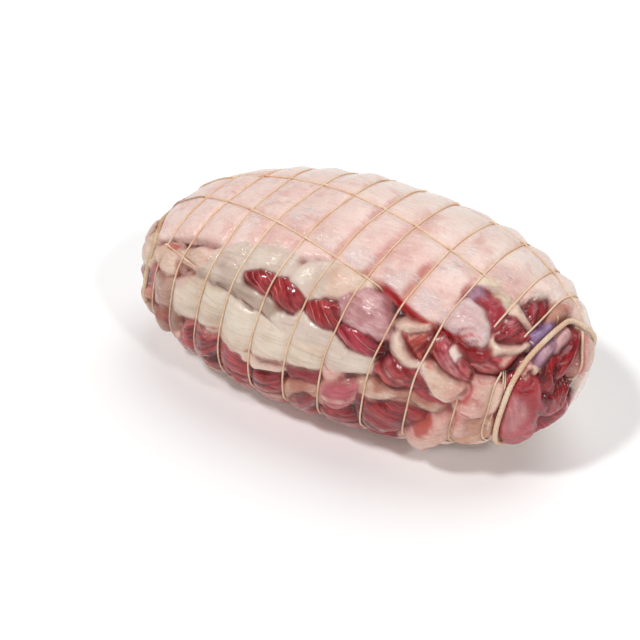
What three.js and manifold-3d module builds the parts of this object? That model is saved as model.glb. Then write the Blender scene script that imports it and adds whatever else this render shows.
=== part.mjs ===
// A raw rolled lamb shoulder: a boned shoulder rolled under its fat cap and held by an elastic net.
// Millimetres, +Z up. +X runs along the roll to its open end, -Y is the side where the cap stops and
// the rolled muscles show. A place on the roll is a station (mm along it) and an angle (degrees round
// it: 0 on top, 90 at the -Y side, 180 below).
import * as THREE from "three";
import { mergeVertices } from "three/addons/utils/BufferGeometryUtils.js";
import Module from "manifold-3d";

// The roll
const HALF_LENGTH = 105;
const HALF_WIDTH = 56.1;
const HALF_HEIGHT = 49.1;
const SECTION_POWER = 2.383; // 2 is an ellipse, more is squarer
const WIDEST = -0.157; // share of the half length where the roll is thickest
const FAR_END = { fall: 1.539, blunt: 3.062 };
const OPEN_END = { fall: 2.661, blunt: 2.15 };
const LEAN_Y = 0.0783; // the sections lean along X by this much for each mm of Y
const LEAN_Z = 0.1638; // and by this much for each mm of Z
const BEND = -1.9; // Y shift at the ends
const DROOP = { far: 2.6, open: 4.8 }; // how much lower the ends' middles lie
const SAG = 3.4; // how much of the section the floor flattens
const FLOOR = 1.4; // the meat is flat below this height of the roll's own frame
const CENTRE = new THREE.Vector2(-0.4, 0); // middle of the finished piece in that frame

// The surface between the strands, in mm out from the roll's envelope
const CAP_LEVEL = -0.5;
const CREASE_LEVEL = -5.5;
const LOBE_EDGE_LEVEL = -4.5;
const GROOVE_LEVEL = -2.5;
const CAP_EDGE_WIDTH = 3;
const GROOVE_WIDTH = 3.4;
const PRESSED = 1.5; // the net is drawn in this much further where the roll lies on it

// The net
const STRAND = { width: 1.2, thickness: 1.2, level: -1.2 };
const CHANNEL_HALF = 1.7;
const HOOPS = [
  // station, how far it wanders, the angle where it wanders most
  [-82.5, 1.0, 0],
  [-66.2, -2.6, 60],
  [-53.0, 2.0, 85],
  [-35.0, -2.2, 50],
  [-18.8, -0.8, 60],
  [-2.2, 0.6, 30],
  [15.0, 0.8, 20],
  [35.0, 0.8, 30],
  [52.8, 1.4, 60],
  [70.8, 1.2, 90],
  [83.4, -0.8, 0],
];
const LINES = [
  // angle at the middle of the roll, degrees of twist for each mm of station
  [-3, 0.13],
  [29, 0.25],
  [77, 0.28],
  [114, 0.22],
  [159, 0.15],
  [191, 0.15],
  [235, 0.2],
  [274, 0.2],
  [318, 0.15],
];
const HOOP_STEPS = 4;
const LINE_STEPS = 2;

// The thicker cords that close the net round both ends: station, angle, and mm it is lifted over a rim
const CORD_RADIUS = 1.25;
const CORD_LEVEL = -0.4;
const CORD_GAP = 0.35;
const CORD_SIDES = 6;
const CORD_STEPS = 32;
const OPEN_CORD = [
  [94.5, -24, 0.8],
  [90.4, -11],
  [89.4, 0],
  [88.8, 16],
  [87.9, 38],
  [87.7, 60],
  [87.9, 80],
  [87.8, 100],
  [87.6, 125],
  [88.4, 150],
  [90, 180],
  [92, -150],
  [94.5, -120],
  [96.5, -90, 0.8],
  [97.8, -62, 1.9],
  [97, -42, 1.9],
];
const FAR_CORD = [
  [-98, 25],
  [-94, 44],
  [-90, 62],
  [-89, 85],
  [-90, 112],
  [-94, 145],
  [-98, 180],
  [-100, 225],
  [-100, 270],
  [-99, 320],
];

// The cap's edge on the side where the roll opens: station, angle. It ends the cap from the top; the
// cap comes round the back and below as far as CAP_UNDER.
const CAP_EDGE = [
  [-105, 66],
  [-87, 52],
  [-78, 44],
  [-36, 42],
  [-16, 35],
  [-4, 30],
  [20, 34],
  [38, 40],
  [52, 42],
  [55, 20],
  [59, 7],
  [70, 11],
  [80, 15],
  [84, 0],
  [92, -16],
  [100, -40],
  [105, -60],
];
const CAP_UNDER = 136;

// Muscles, fat and flaps that bulge in the opening and at the two ends: name, station, angle, length,
// width, turn from the roll's own direction towards larger angles, height over the envelope.
const LOBES = [
  ["pillow above the fold", 61, 33, 24, 20, -16, 2.2],
  ["red strip beside it", 66, 20, 24, 11, 30, -0.6],
  ["purple knuckle", 77, 25, 17, 15, -42, 1.2],
  ["cream streak", 81, 36, 19, 8, -40, 0.8],
  ["streak below it", 83, 44, 16, 10, -50, 0.2],
  ["dark island", 80, 1, 19, 12, 67, -0.4],
  ["end wrinkle", 86, -16, 21, 13, 84, 0.4],
  ["blue sheen muscle", 88, 11, 15, 9, -72, 1.0],
  ["lilac muscle", 93, 28, 15, 10, -82, 0.6],
  ["upper lilac muscle", 94, 2, 16, 10, 83, 0.6],
  ["end muscle front", 97, 42, 34, 17, 80, 0.8],
  ["end muscle middle", 102, 10, 36, 15, 74, 1.2],
  ["end wrap rim", 98, -46, 44, 13, -30, 1.8],
  ["cap pillow before the last hoop", 77, -38, 14, 46, 0, 1.8],
  ["cap pillow past the last hoop", 88, -46, 11, 40, 0, 2.2],
  ["cap pillow further in", 62, -34, 16, 44, 0, 1.0],
  ["end wrap rim below", 98, -112, 40, 14, 30, 1.2],
  ["end fat knob", 103, -128, 11, 9, 20, 2.6],
  ["end lower lobe", 90, 99, 30, 25, 70, 2.2],
  ["end frayed fold", 91, 52, 15, 10, -37, 0],
  ["cream crescent", 44, 62, 22, 10, 48, 1.4],
  ["orange muscle", 49, 52, 19, 14, -82, 0.8],
  ["large red lobe", 43, 76, 27, 18, 33, 1.0],
  ["purple lobe", 62, 61, 27, 18, 27, 1.2],
  ["cream flap", 66, 76, 25, 15, 24, 1.4],
  ["dusky muscle", 78, 56, 15, 9, 0, -0.8],
  ["pale fat lobe", 79, 80, 24, 17, -65, 1.6],
  ["fat below it", 77, 98, 22, 18, 26, -2.4],
  ["pale bulge", 61, 112, 34, 24, -20, 3.4],
  ["deep red muscle", 43, 101, 30, 22, -50, 0.6],
  ["purple red muscle", 57, 93, 18, 12, -70, 0.4],
  ["fat strip", 42, 89, 24, 10, -4, 0.6],
  ["round banded lobe", 25, 97, 25, 15, -25, 1.2],
  ["pink triangle", 18, 87, 14, 11, -48, -0.2],
  ["low dark muscle", 7, 113, 25, 16, -40, 0.4],
  ["low red muscle", 6, 101, 22, 9, -27, 0.2],
  ["low brown muscle", -11, 112, 28, 14, -30, 0.2],
  ["thin fat strip", -14, 94, 22, 5, 2, 0.6],
  ["purple patch", 8, 90, 18, 7, -10, -0.6],
  ["silverskin left", -36, 79, 62, 30, 4, 0.6],
  ["silverskin right", 14, 78, 46, 18, -4, 0.4],
  ["red muscle a", -26, 54, 22, 14, 13, 0.2],
  ["red muscle b", -9, 56, 22, 15, 23, 0.4],
  ["red muscle c", 9, 57, 22, 15, 9, 0.6],
  ["red muscle d", 25, 66, 18, 10, 4, 0.4],
  ["lilac membrane", 26, 53, 20, 15, 15, 0.6],
  ["grey membrane", -45, 54, 28, 18, -2, 0.6],
  ["cream shoulder", -79, 64, 22, 17, -6, 1.2],
  ["cream shoulder end", -63, 57, 20, 12, -14, 0.8],
  ["grey shoulder", -74, 83, 22, 18, -44, 0.8],
  ["wrinkled fat", -70, 99, 24, 15, -30, 1.2],
  ["small lumps", -62, 110, 24, 11, -60, 1.0],
  ["left red muscle", -47, 100, 32, 22, -45, 0.6],
  ["left red muscle tail", -27, 98, 20, 14, 20, 0.2],
  ["left low muscle", -50, 122, 40, 20, 0, 0],
  ["middle low muscle", -8, 126, 40, 16, 0, 0],
  ["right low muscle", 32, 126, 36, 18, 0, -0.2],
  ["far end fat lobe", -92, 70, 22, 17, -32, 1.4],
  ["far end knot of meat", -90, 97, 20, 11, -46, 1.4],
  ["far end low lobe", -86, 122, 30, 20, 10, 0.6],
  ["far end swirl", -102, 120, 34, 17, 60, 0.8],
  ["far end muscle", -103, -40, 30, 20, 20, 0.6],
  ["far end core", -104, 30, 17, 12, 10, 1.2],
  ["far end wrap rim", -97, -100, 46, 12, 90, 1.0],
];

const degrees = THREE.MathUtils.degToRad;
const { clamp, lerp } = THREE.MathUtils;

function ramp(x, low, high) {
  const t = clamp((x - low) / (high - low), 0, 1);
  return t * t * (3 - 2 * t);
}

// A value read off a list of [where, value] pairs, straight between them.
function alongList(pairs, where) {
  const last = pairs.length - 1;
  if (where <= pairs[0][0]) return pairs[0][1];
  for (let k = 0; k < last; k++) {
    const [a, from] = pairs[k];
    const [b, to] = pairs[k + 1];
    if (where <= b) return lerp(from, to, (where - a) / (b - a));
  }
  return pairs[last][1];
}

function radiusShare(share) {
  const end = share < WIDEST ? FAR_END : OPEN_END;
  const reach = share < WIDEST ? (WIDEST - share) / (1 + WIDEST) : (share - WIDEST) / (1 - WIDEST);
  return Math.max(1 - reach ** end.fall, 0) ** (1 / end.blunt);
}

function signedPower(value, power) {
  return Math.sign(value) * Math.abs(value) ** power;
}

// The roll's smooth envelope, flattened at the floor.
function envelope(station, angle) {
  const share = clamp(station / HALF_LENGTH, -1, 1);
  const radius = radiusShare(share);
  const side = signedPower(Math.sin(degrees(angle)), 2 / SECTION_POWER);
  const up = signedPower(Math.cos(degrees(angle)), 2 / SECTION_POWER);
  const droop = share < 0 ? DROOP.far : DROOP.open;
  const middle = HALF_HEIGHT - SAG - droop * share * share;
  const across = -HALF_WIDTH * radius * side;
  const above = HALF_HEIGHT * radius * up;
  const x = share * HALF_LENGTH + LEAN_Y * across + LEAN_Z * above;
  return new THREE.Vector3(x, across + BEND * share * share, Math.max(middle + above, 0));
}

const STATION_STEP = 0.2;
const ANGLE_STEP = 0.6;

// Place, outward normal and the two directions along the surface, with their mm per unit.
function frameAt(station, angle) {
  const edge = HALF_LENGTH - STATION_STEP * 1.5;
  const s = clamp(station, -edge, edge);
  const place = envelope(station, angle);
  const forward = envelope(s + STATION_STEP, angle).sub(envelope(s - STATION_STEP, angle));
  const around = envelope(s, angle + ANGLE_STEP).sub(envelope(s, angle - ANGLE_STEP));
  const perStation = forward.length() / (2 * STATION_STEP);
  const perDegree = around.length() / (2 * ANGLE_STEP);
  const normal = new THREE.Vector3().crossVectors(around, forward).normalize();
  return { place, normal, forward: forward.normalize(), around: around.normalize(), perStation, perDegree };
}

// Slow, uneven waves over the surface, about -1 to 1.
function waves(p, size, seed) {
  const k = (2 * Math.PI) / size;
  const a = Math.sin(k * (0.9 * p.x + 0.35 * p.y) + seed * 1.7);
  const b = Math.sin(k * (0.8 * p.y - 0.5 * p.z) + seed * 2.9 + a);
  const c = Math.sin(k * (0.85 * p.z + 0.3 * p.x) + seed * 4.3 + b);
  return (a + b + c) / 3;
}

function hoopStation(hoop, angle) {
  const [station, wander, where] = hoop;
  return station + wander * Math.cos(degrees(angle - where));
}

function lineAngle(line, station) {
  return line[0] + line[1] * station;
}

const pressedAt = (angle) => ramp(Math.abs(THREE.MathUtils.euclideanModulo(angle + 180, 360) - 180), 112, 140);

const lobes = LOBES.map(([, station, angle, length, width, turn, rise], index) => {
  const { place, normal, forward, around } = frameAt(station, angle);
  const [c, s] = [Math.cos(degrees(turn)), Math.sin(degrees(turn))];
  const long = forward.clone().multiplyScalar(c).addScaledVector(around, s);
  const cross = around.clone().multiplyScalar(c).addScaledVector(forward, -s);
  return { place, normal, long, cross, halfLength: length / 2, halfWidth: width / 2, rise, index };
});

const LOBE_REACH = 16; // a lobe ends this far below or above its own tangent plane
const LOBE_POWER = 2.4;

function lobeHeight(lobe, p) {
  const d = p.clone().sub(lobe.place);
  if (Math.abs(d.dot(lobe.normal)) > LOBE_REACH) return -Infinity;
  const u = Math.abs(d.dot(lobe.long)) / lobe.halfLength;
  const v = Math.abs(d.dot(lobe.cross)) / lobe.halfWidth;
  const q = (u ** LOBE_POWER + v ** LOBE_POWER) * (1 + 0.22 * waves(p, 13, lobe.index));
  if (q > 1.3) return -Infinity;
  return lobe.rise - (lobe.rise - LOBE_EDGE_LEVEL) * q;
}

// How far a place lies inside the cap, in mm from the cap's edge.
function insideCap(station, angle, perDegree) {
  const turn = THREE.MathUtils.euclideanModulo(angle + 180, 360) - 180;
  const above = alongList(CAP_EDGE, station) - turn;
  const below = turn - CAP_UNDER;
  return Math.max(above, below) * perDegree;
}

// Height of the meat over the envelope between the strands.
function relief(station, angle, frame) {
  const p = frame.place;
  const cap = ramp(insideCap(station, angle, frame.perDegree), -CAP_EDGE_WIDTH, CAP_EDGE_WIDTH);
  const capHeight = CAP_LEVEL + 0.5 * waves(p, 31, 1) + 0.3 * waves(p, 17, 2);
  let height = lerp(CREASE_LEVEL, capHeight, cap);
  for (const lobe of lobes) height = Math.max(height, lobeHeight(lobe, p));
  return height;
}

// How strongly the nearest strand pulls the surface in, 0 to 1.
function pull(station, angle, frame) {
  let nearest = Infinity;
  for (const hoop of HOOPS)
    nearest = Math.min(nearest, Math.abs(station - hoopStation(hoop, angle)) * frame.perStation);
  const netted = station > HOOPS[0][0] - 2 && station < HOOPS.at(-1)[0] + 2;
  if (netted)
    for (const line of LINES) {
      const off = THREE.MathUtils.euclideanModulo(angle - lineAngle(line, station) + 180, 360) - 180;
      nearest = Math.min(nearest, Math.abs(off) * frame.perDegree);
    }
  const beyond = Math.max(nearest - CHANNEL_HALF, 0);
  return Math.exp(-((beyond / GROOVE_WIDTH) ** 2));
}

function meatPoint(station, angle) {
  const frame = frameAt(station, angle);
  const groove = GROOVE_LEVEL - PRESSED * pressedAt(angle);
  const free = relief(station, angle, frame);
  const height = free - Math.max(free - groove, 0) * pull(station, angle, frame);
  const p = frame.place.clone().addScaledVector(frame.normal, height);
  p.z = Math.max(p.z, FLOOR);
  return p;
}

function strandPoint(station, angle, level) {
  const frame = frameAt(station, angle);
  return frame.place.clone().addScaledVector(frame.normal, level - PRESSED * pressedAt(angle));
}

function geometryOf(points, triangles) {
  const geometry = new THREE.BufferGeometry();
  const flat = points.flatMap((p) => [p.x, p.y, p.z]);
  geometry.setAttribute("position", new THREE.Float32BufferAttribute(flat, 3));
  geometry.setIndex(triangles);
  return geometry;
}

// Angles of the mesh's columns at a station: two beside each line of the net, four more up to the next.
const COLUMNS_BETWEEN = 4;

function columnAngles(station) {
  const { perDegree } = frameAt(station, 90);
  const found = [];
  LINES.forEach((line, k) => {
    const here = lineAngle(line, station);
    const next = k + 1 < LINES.length ? lineAngle(LINES[k + 1], station) : lineAngle(LINES[0], station) + 360;
    const beside = Math.min(CHANNEL_HALF / perDegree, 0.2 * (next - here));
    found.push(here - beside);
    for (let c = 0; c <= COLUMNS_BETWEEN; c++)
      found.push(lerp(here + beside, next - beside, c / (COLUMNS_BETWEEN + 1)));
  });
  return found;
}

// Rings of the mesh: two beside each hoop, RINGS_BETWEEN more up to the next, and END_RINGS to each tip.
// A ring is a hoop's index and an offset from it, so that it wanders as the hoop does.
const RINGS_BETWEEN = 2;
const END_RINGS = 9;

function ringStations() {
  const rings = [];
  const first = HOOPS[0];
  const last = HOOPS.at(-1);
  for (let k = 1; k < END_RINGS; k++) {
    const share = Math.sin(degrees((90 * (END_RINGS - k)) / END_RINGS));
    rings.push((angle) => lerp(hoopStation(first, angle) - CHANNEL_HALF, -HALF_LENGTH, share));
  }
  HOOPS.forEach((hoop, k) => {
    rings.push((angle) => hoopStation(hoop, angle) - CHANNEL_HALF);
    rings.push((angle) => hoopStation(hoop, angle) + CHANNEL_HALF);
    if (hoop === last) return;
    for (let r = 1; r <= RINGS_BETWEEN; r++) {
      const share = r / (RINGS_BETWEEN + 1);
      const next = HOOPS[k + 1];
      const start = (angle) => hoopStation(hoop, angle) + CHANNEL_HALF;
      rings.push((angle) => lerp(start(angle), hoopStation(next, angle) - CHANNEL_HALF, share));
    }
  });
  for (let k = 1; k < END_RINGS; k++) {
    const share = Math.sin(degrees((90 * k) / END_RINGS));
    rings.push((angle) => lerp(hoopStation(last, angle) + CHANNEL_HALF, HALF_LENGTH, share));
  }
  return rings;
}

function meatGeometry() {
  const points = [];
  const triangles = [];
  const rings = ringStations();
  let columns = 0;
  for (const ring of rings) {
    const angles = columnAngles(ring(90));
    columns = angles.length;
    for (const angle of angles) points.push(meatPoint(ring(angle), angle));
  }
  for (let r = 0; r + 1 < rings.length; r++)
    for (let c = 0; c < columns; c++) {
      const a = r * columns + c;
      const b = r * columns + ((c + 1) % columns);
      triangles.push(a, b, b + columns, a, b + columns, a + columns);
    }
  const farTip = points.push(meatPoint(-HALF_LENGTH, 0)) - 1;
  const openTip = points.push(meatPoint(HALF_LENGTH, 0)) - 1;
  const lastRing = (rings.length - 1) * columns;
  for (let c = 0; c < columns; c++) {
    const next = (c + 1) % columns;
    triangles.push(farTip, next, c);
    triangles.push(openTip, lastRing + c, lastRing + next);
  }
  return geometryOf(points, triangles);
}

// The net: a lattice of four-cornered strands that share their corners where hoops and lines cross.
function netGeometry() {
  const points = [];
  const triangles = [];
  const top = STRAND.level + STRAND.thickness / 2;
  const bottom = STRAND.level - STRAND.thickness / 2;
  const corner = (station, angle, level) => points.push(strandPoint(station, angle, level)) - 1;
  const quad = (a, b, c, d) => triangles.push(a, b, c, a, c, d);
  const join = (from, to) => {
    for (let k = 0; k < 4; k++) quad(from[k], to[k], to[(k + 1) % 4], from[(k + 1) % 4]);
  };
  const hoopSection = (hoop, angle) => {
    const station = hoopStation(hoop, angle);
    const half = STRAND.width / 2 / frameAt(station, angle).perStation;
    return [
      corner(station - half, angle, top),
      corner(station + half, angle, top),
      corner(station + half, angle, bottom),
      corner(station - half, angle, bottom),
    ];
  };
  const crossingAngle = (hoop, line) => lineAngle(line, hoopStation(hoop, lineAngle(line, hoop[0])));
  const halfAngle = (hoop, angle) => STRAND.width / 2 / frameAt(hoop[0], angle).perDegree;

  const crossings = HOOPS.map((hoop) =>
    LINES.map((line) => {
      const angle = crossingAngle(hoop, line);
      const half = halfAngle(hoop, angle);
      return { angle, half, near: hoopSection(hoop, angle - half), far: hoopSection(hoop, angle + half) };
    }),
  );
  HOOPS.forEach((hoop, h) => {
    LINES.forEach((line, k) => {
      const here = crossings[h][k];
      const wrap = k + 1 === LINES.length;
      const next = crossings[h][(k + 1) % LINES.length];
      const start = here.angle + here.half;
      const stop = next.angle - next.half + (wrap ? 360 : 0);
      let section = here.far;
      for (let step = 1; step < HOOP_STEPS; step++) {
        const following = hoopSection(hoop, lerp(start, stop, step / HOOP_STEPS));
        join(section, following);
        section = following;
      }
      join(section, next.near);
      const { near, far } = here;
      quad(near[0], far[0], far[1], near[1]);
      quad(near[2], far[2], far[3], near[3]);
      if (h === 0) quad(near[3], far[3], far[0], near[0]);
      if (h + 1 === HOOPS.length) quad(near[1], far[1], far[2], near[2]);
      if (h + 1 < HOOPS.length) joinLine(here, crossings[h + 1][k], hoop, HOOPS[h + 1]);
    });
  });

  // A line's strand from the +X side of one crossing to the -X side of the next.
  function joinLine(here, next, hoop, nextHoop) {
    const from = [here.far[1], here.near[1], here.near[2], here.far[2]];
    const to = [next.far[0], next.near[0], next.near[3], next.far[3]];
    const start = hoopStation(hoop, here.angle);
    const stop = hoopStation(nextHoop, next.angle);
    let section = from;
    for (let step = 1; step < LINE_STEPS; step++) {
      const share = step / LINE_STEPS;
      const station = lerp(start, stop, share);
      const angle = lerp(here.angle, next.angle, share);
      const half = STRAND.width / 2 / frameAt(station, angle).perDegree;
      const following = [
        corner(station, angle + half, top),
        corner(station, angle - half, top),
        corner(station, angle - half, bottom),
        corner(station, angle + half, bottom),
      ];
      join(section, following);
      section = following;
    }
    join(section, to);
  }
  return geometryOf(points, triangles);
}

// A closed cord along a path of stations and angles that lies on the roll.
function cordGeometry(path, radius) {
  const held = path.map(([station, angle, lift = 0]) => {
    const { place, normal } = frameAt(station, angle);
    return place.clone().addScaledVector(normal, CORD_LEVEL + lift);
  });
  const curve = new THREE.CatmullRomCurve3(held, true, "centripetal");
  const middle = new THREE.Vector3();
  held.forEach((p) => middle.addScaledVector(p, 1 / held.length));
  const points = [];
  const triangles = [];
  for (let step = 0; step < CORD_STEPS; step++) {
    const p = curve.getPointAt(step / CORD_STEPS);
    const along = curve.getTangentAt(step / CORD_STEPS);
    const out = p.clone().sub(middle).projectOnPlane(along).normalize();
    const side = new THREE.Vector3().crossVectors(along, out);
    for (let k = 0; k < CORD_SIDES; k++) {
      const turn = (2 * Math.PI * k) / CORD_SIDES;
      const rim = p.clone().addScaledVector(out, radius * Math.cos(turn));
      points.push(rim.addScaledVector(side, radius * Math.sin(turn)));
    }
  }
  for (let step = 0; step < CORD_STEPS; step++)
    for (let k = 0; k < CORD_SIDES; k++) {
      const next = (k + 1) % CORD_SIDES;
      const a = step * CORD_SIDES;
      const b = ((step + 1) % CORD_STEPS) * CORD_SIDES;
      triangles.push(a + k, b + next, b + k, a + k, a + next, b + next);
    }
  return geometryOf(points, triangles);
}

const wasm = await Module();
wasm.setup();

function solidFrom(geometry) {
  const merged = mergeVertices(geometry, 1e-4);
  const vertProperties = merged.attributes.position.array;
  const triVerts = new Uint32Array(merged.index.array);
  return new wasm.Manifold(new wasm.Mesh({ numProp: 3, vertProperties, triVerts }));
}

function geometryFrom(solid) {
  const mesh = solid.getMesh();
  const geometry = new THREE.BufferGeometry();
  geometry.setAttribute("position", new THREE.Float32BufferAttribute(mesh.vertProperties, 3));
  geometry.setIndex(Array.from(mesh.triVerts));
  return geometry;
}

// The meat, with the troughs that the two end cords lie in, without the scraps that cutting them leaves.
function groovedMeat() {
  let solid = solidFrom(meatGeometry());
  for (const path of [OPEN_CORD, FAR_CORD])
    solid = solid.subtract(solidFrom(cordGeometry(path, CORD_RADIUS + CORD_GAP)));
  const bodies = solid.decompose();
  return geometryFrom(bodies.reduce((best, body) => (body.volume() > best.volume() ? body : best)));
}

const MATERIALS = {
  meat: new THREE.MeshStandardMaterial({ color: 0xcf9c90, roughness: 0.4, metalness: 0 }),
  net: new THREE.MeshStandardMaterial({ color: 0xe0c5a6, roughness: 0.85, metalness: 0 }),
  cord: new THREE.MeshStandardMaterial({ color: 0xe6d2b6, roughness: 0.85, metalness: 0 }),
};

const roll = new THREE.Group();

function addPiece(name, geometry, material) {
  const mesh = new THREE.Mesh(geometry, material);
  mesh.name = name;
  mesh.geometry.computeVertexNormals();
  roll.add(mesh);
}

addPiece("meat", groovedMeat(), MATERIALS.meat);
addPiece("net", netGeometry(), MATERIALS.net);
addPiece("cord_open_end", cordGeometry(OPEN_CORD, CORD_RADIUS), MATERIALS.cord);
addPiece("cord_far_end", cordGeometry(FAR_CORD, CORD_RADIUS), MATERIALS.cord);
roll.position.set(-CENTRE.x, -CENTRE.y, -FLOOR);

export default roll;
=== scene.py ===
import bpy
import numpy as np
from mathutils import Matrix


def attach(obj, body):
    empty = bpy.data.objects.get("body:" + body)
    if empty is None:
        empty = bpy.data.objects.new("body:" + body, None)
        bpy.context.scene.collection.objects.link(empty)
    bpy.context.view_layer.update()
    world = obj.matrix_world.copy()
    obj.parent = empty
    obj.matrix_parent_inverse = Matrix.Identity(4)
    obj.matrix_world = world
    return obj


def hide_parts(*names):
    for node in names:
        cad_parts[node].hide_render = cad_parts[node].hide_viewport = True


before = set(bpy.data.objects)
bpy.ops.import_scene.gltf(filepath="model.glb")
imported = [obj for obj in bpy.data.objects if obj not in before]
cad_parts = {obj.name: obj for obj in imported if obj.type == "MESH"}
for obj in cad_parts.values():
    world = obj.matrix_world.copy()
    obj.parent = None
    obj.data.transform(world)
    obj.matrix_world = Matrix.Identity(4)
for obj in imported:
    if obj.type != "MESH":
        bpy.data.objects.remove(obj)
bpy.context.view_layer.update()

# ---------------------------------------------------------------------------------------------------------
# The roll's envelope: the same named sizes as the part's solids
# ---------------------------------------------------------------------------------------------------------
# Lengths in mm. Station -105 is the far tip and 105 the tip of the open end.
HALF_LENGTH = 105.0
HALF_WIDTH = 56.1
HALF_HEIGHT = 49.1
MEAN_RADIUS = 0.5 * (HALF_WIDTH + HALF_HEIGHT)
SECTION_POWER = 2.383  # of the superellipse across the roll
WIDEST = -0.157  # where the roll is widest, as a share of its half length
FAR_END = (1.539, 3.062)  # how the radius falls towards the tip, and how blunt the tip is
OPEN_END = (2.661, 2.15)
LEAN_Y = 0.0783  # mm along the roll for each mm across: the sections lean
LEAN_Z = 0.1638  # and for each mm up
BEND = -1.9  # how far both ends turn sideways
DROOP_FAR = 2.6
DROOP_OPEN = 4.8
SAG = 3.4
FLOOR = 1.4  # the floor's height in the roll's own frame
CENTRE_X = -0.4
MM = 0.001

# Levels in mm over the envelope
CAP_LEVEL = -0.5
GROUND_LEVEL = -5.2  # the bottom of the crevices
STRAND_LEVEL = -1.2
STRAND_RADIUS = 0.43
GROOVE_LEVEL = -1.4  # the groove that a strand lies in
PRESSED = 1.5  # how much deeper strands and grooves lie on the underside
CORD_LEVEL = -0.4
CORD_RADIUS = 1.12


def places(text):
    """The pairs of numbers in "a,b a,b": mostly (station, angle) places."""
    return [tuple(float(v) for v in pair.split(",")) for pair in text.split()]


HOOPS = np.array(
    [
        # station, how far it wanders, the angle where it wanders most
        (-82.5, 1.0, 0),
        (-66.2, -2.6, 60),
        (-53.0, 2.0, 85),
        (-35.0, -2.2, 50),
        (-18.8, -0.8, 60),
        (-2.2, 0.6, 30),
        (15.0, 0.8, 20),
        (35.0, 0.8, 30),
        (52.8, 1.4, 60),
        (70.8, 1.2, 90),
        (83.4, -0.8, 0),
    ],
    float,
)
LINES = np.array(
    [
        # angle at the middle of the roll, degrees of twist for each mm of station
        (-3, 0.13),
        (29, 0.25),
        (77, 0.28),
        (114, 0.22),
        (159, 0.15),
        (191, 0.15),
        (235, 0.2),
        (274, 0.2),
        (318, 0.15),
    ],
    float,
)
SINKS_OVER = 3.5  # degrees or mm over which a strand goes down
# Where a strand sinks between two lobes: (hoop or line, number, from, to), angles or stations
SUNK = [
    ("hoop", 9, 27, 82),
    ("hoop", 10, 22, 56),
    ("line", 0, 56, 90),
    ("line", 1, 22, 90),
    ("line", 2, -60, 90),
    ("line", 3, -90, 64),
]
# The cords at the two ends: station, angle, mm lifted over a rim
OPEN_CORD = [
    (94.5, -24, 0.8),
    (90.4, -11, 0),
    (89.4, 0, 0),
    (88.8, 16, 0),
    (87.9, 38, 0),
    (87.7, 60, 0),
    (87.9, 80, 0),
    (87.8, 100, 0),
    (87.6, 125, 0),
    (88.4, 150, 0),
    (90, 180, 0),
    (92, -150, 0),
    (94.5, -120, 0),
    (96.5, -90, 0.2),
    (97.6, -62, 0.5),
    (96.8, -42, 0.8),
]
FAR_CORD = [
    (-98, 25, -0.9),
    (-94, 44, -0.6),
    (-90, 62, -0.4),
    (-89, 85, 0),
    (-90, 112, 0),
    (-94, 145, 0),
    (-98, 180, 0),
    (-100, 225, 0),
    (-100, 270, 0),
    (-99, 320, 0),
]
# The lower edge of the cap on the open side: station, angle
CAP_EDGE = np.array(places(
    "-105,66 -87,52 -78,44 -66,43 -48,41 -36,38 -24,35 -16,33 -4,30 12,31 25,34 33,38 42,41 50,44 53,40 "
    "53,16 58,9 70,8 73,4 78,-7 84,-12 92,-20 100,-40 105,-60"
))
CAP_UNDER = 136.0  # the angle below the roll where the cap starts again


def ramp(x, low, high):
    t = np.clip((x - low) / (high - low), 0.0, 1.0)
    return t * t * (3.0 - 2.0 * t)


def signed_power(value, power):
    return np.sign(value) * np.abs(value) ** power


def turned(angle):
    """The angle brought into -180 to 180."""
    return np.mod(angle + 180.0, 360.0) - 180.0


def radius_share(share):
    """The roll's radius at this share of its half length, 1 where it is widest."""
    far = share < WIDEST
    reach = np.where(far, (WIDEST - share) / (1 + WIDEST), (share - WIDEST) / (1 - WIDEST))
    fall = np.where(far, FAR_END[0], OPEN_END[0])
    blunt = np.where(far, FAR_END[1], OPEN_END[1])
    return np.maximum(1 - np.maximum(reach, 0) ** fall, 0) ** (1 / blunt)


def envelope(station, angle):
    """The smooth roll's surface in mm."""
    share = np.clip(station / HALF_LENGTH, -1, 1)
    radius = radius_share(share)
    side = signed_power(np.sin(np.radians(angle)), 2 / SECTION_POWER)
    up = signed_power(np.cos(np.radians(angle)), 2 / SECTION_POWER)
    droop = np.where(share < 0, DROOP_FAR, DROOP_OPEN)
    across = -HALF_WIDTH * radius * side
    above = HALF_HEIGHT * radius * up
    x = share * HALF_LENGTH + LEAN_Y * across + LEAN_Z * above
    y = across + BEND * share * share
    z = np.maximum(HALF_HEIGHT - SAG - droop * share * share + above, 0)
    return np.stack([x, y, z], -1)


STATION_STEP = 0.2
ANGLE_STEP = 0.6


def length_of(v):
    return np.sqrt((v * v).sum(-1))


def unit(v):
    return v / np.maximum(length_of(v), 1e-9)[..., None]


def frame_at(station, angle):
    """Place, outward normal, the two directions along the surface and their mm per unit."""
    station, angle = np.broadcast_arrays(np.asarray(station, float), np.asarray(angle, float))
    edge = HALF_LENGTH - STATION_STEP * 1.5
    s = np.clip(station, -edge, edge)
    forward = envelope(s + STATION_STEP, angle) - envelope(s - STATION_STEP, angle)
    around = envelope(s, angle + ANGLE_STEP) - envelope(s, angle - ANGLE_STEP)
    return {
        "place": envelope(station, angle),
        "normal": unit(np.cross(around, forward)),
        "forward": unit(forward),
        "around": unit(around),
        "per_station": length_of(forward) / (2 * STATION_STEP),
        "per_degree": length_of(around) / (2 * ANGLE_STEP),
    }


def to_world(p):
    return (p - np.array([CENTRE_X, 0.0, FLOOR])) * MM


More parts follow.
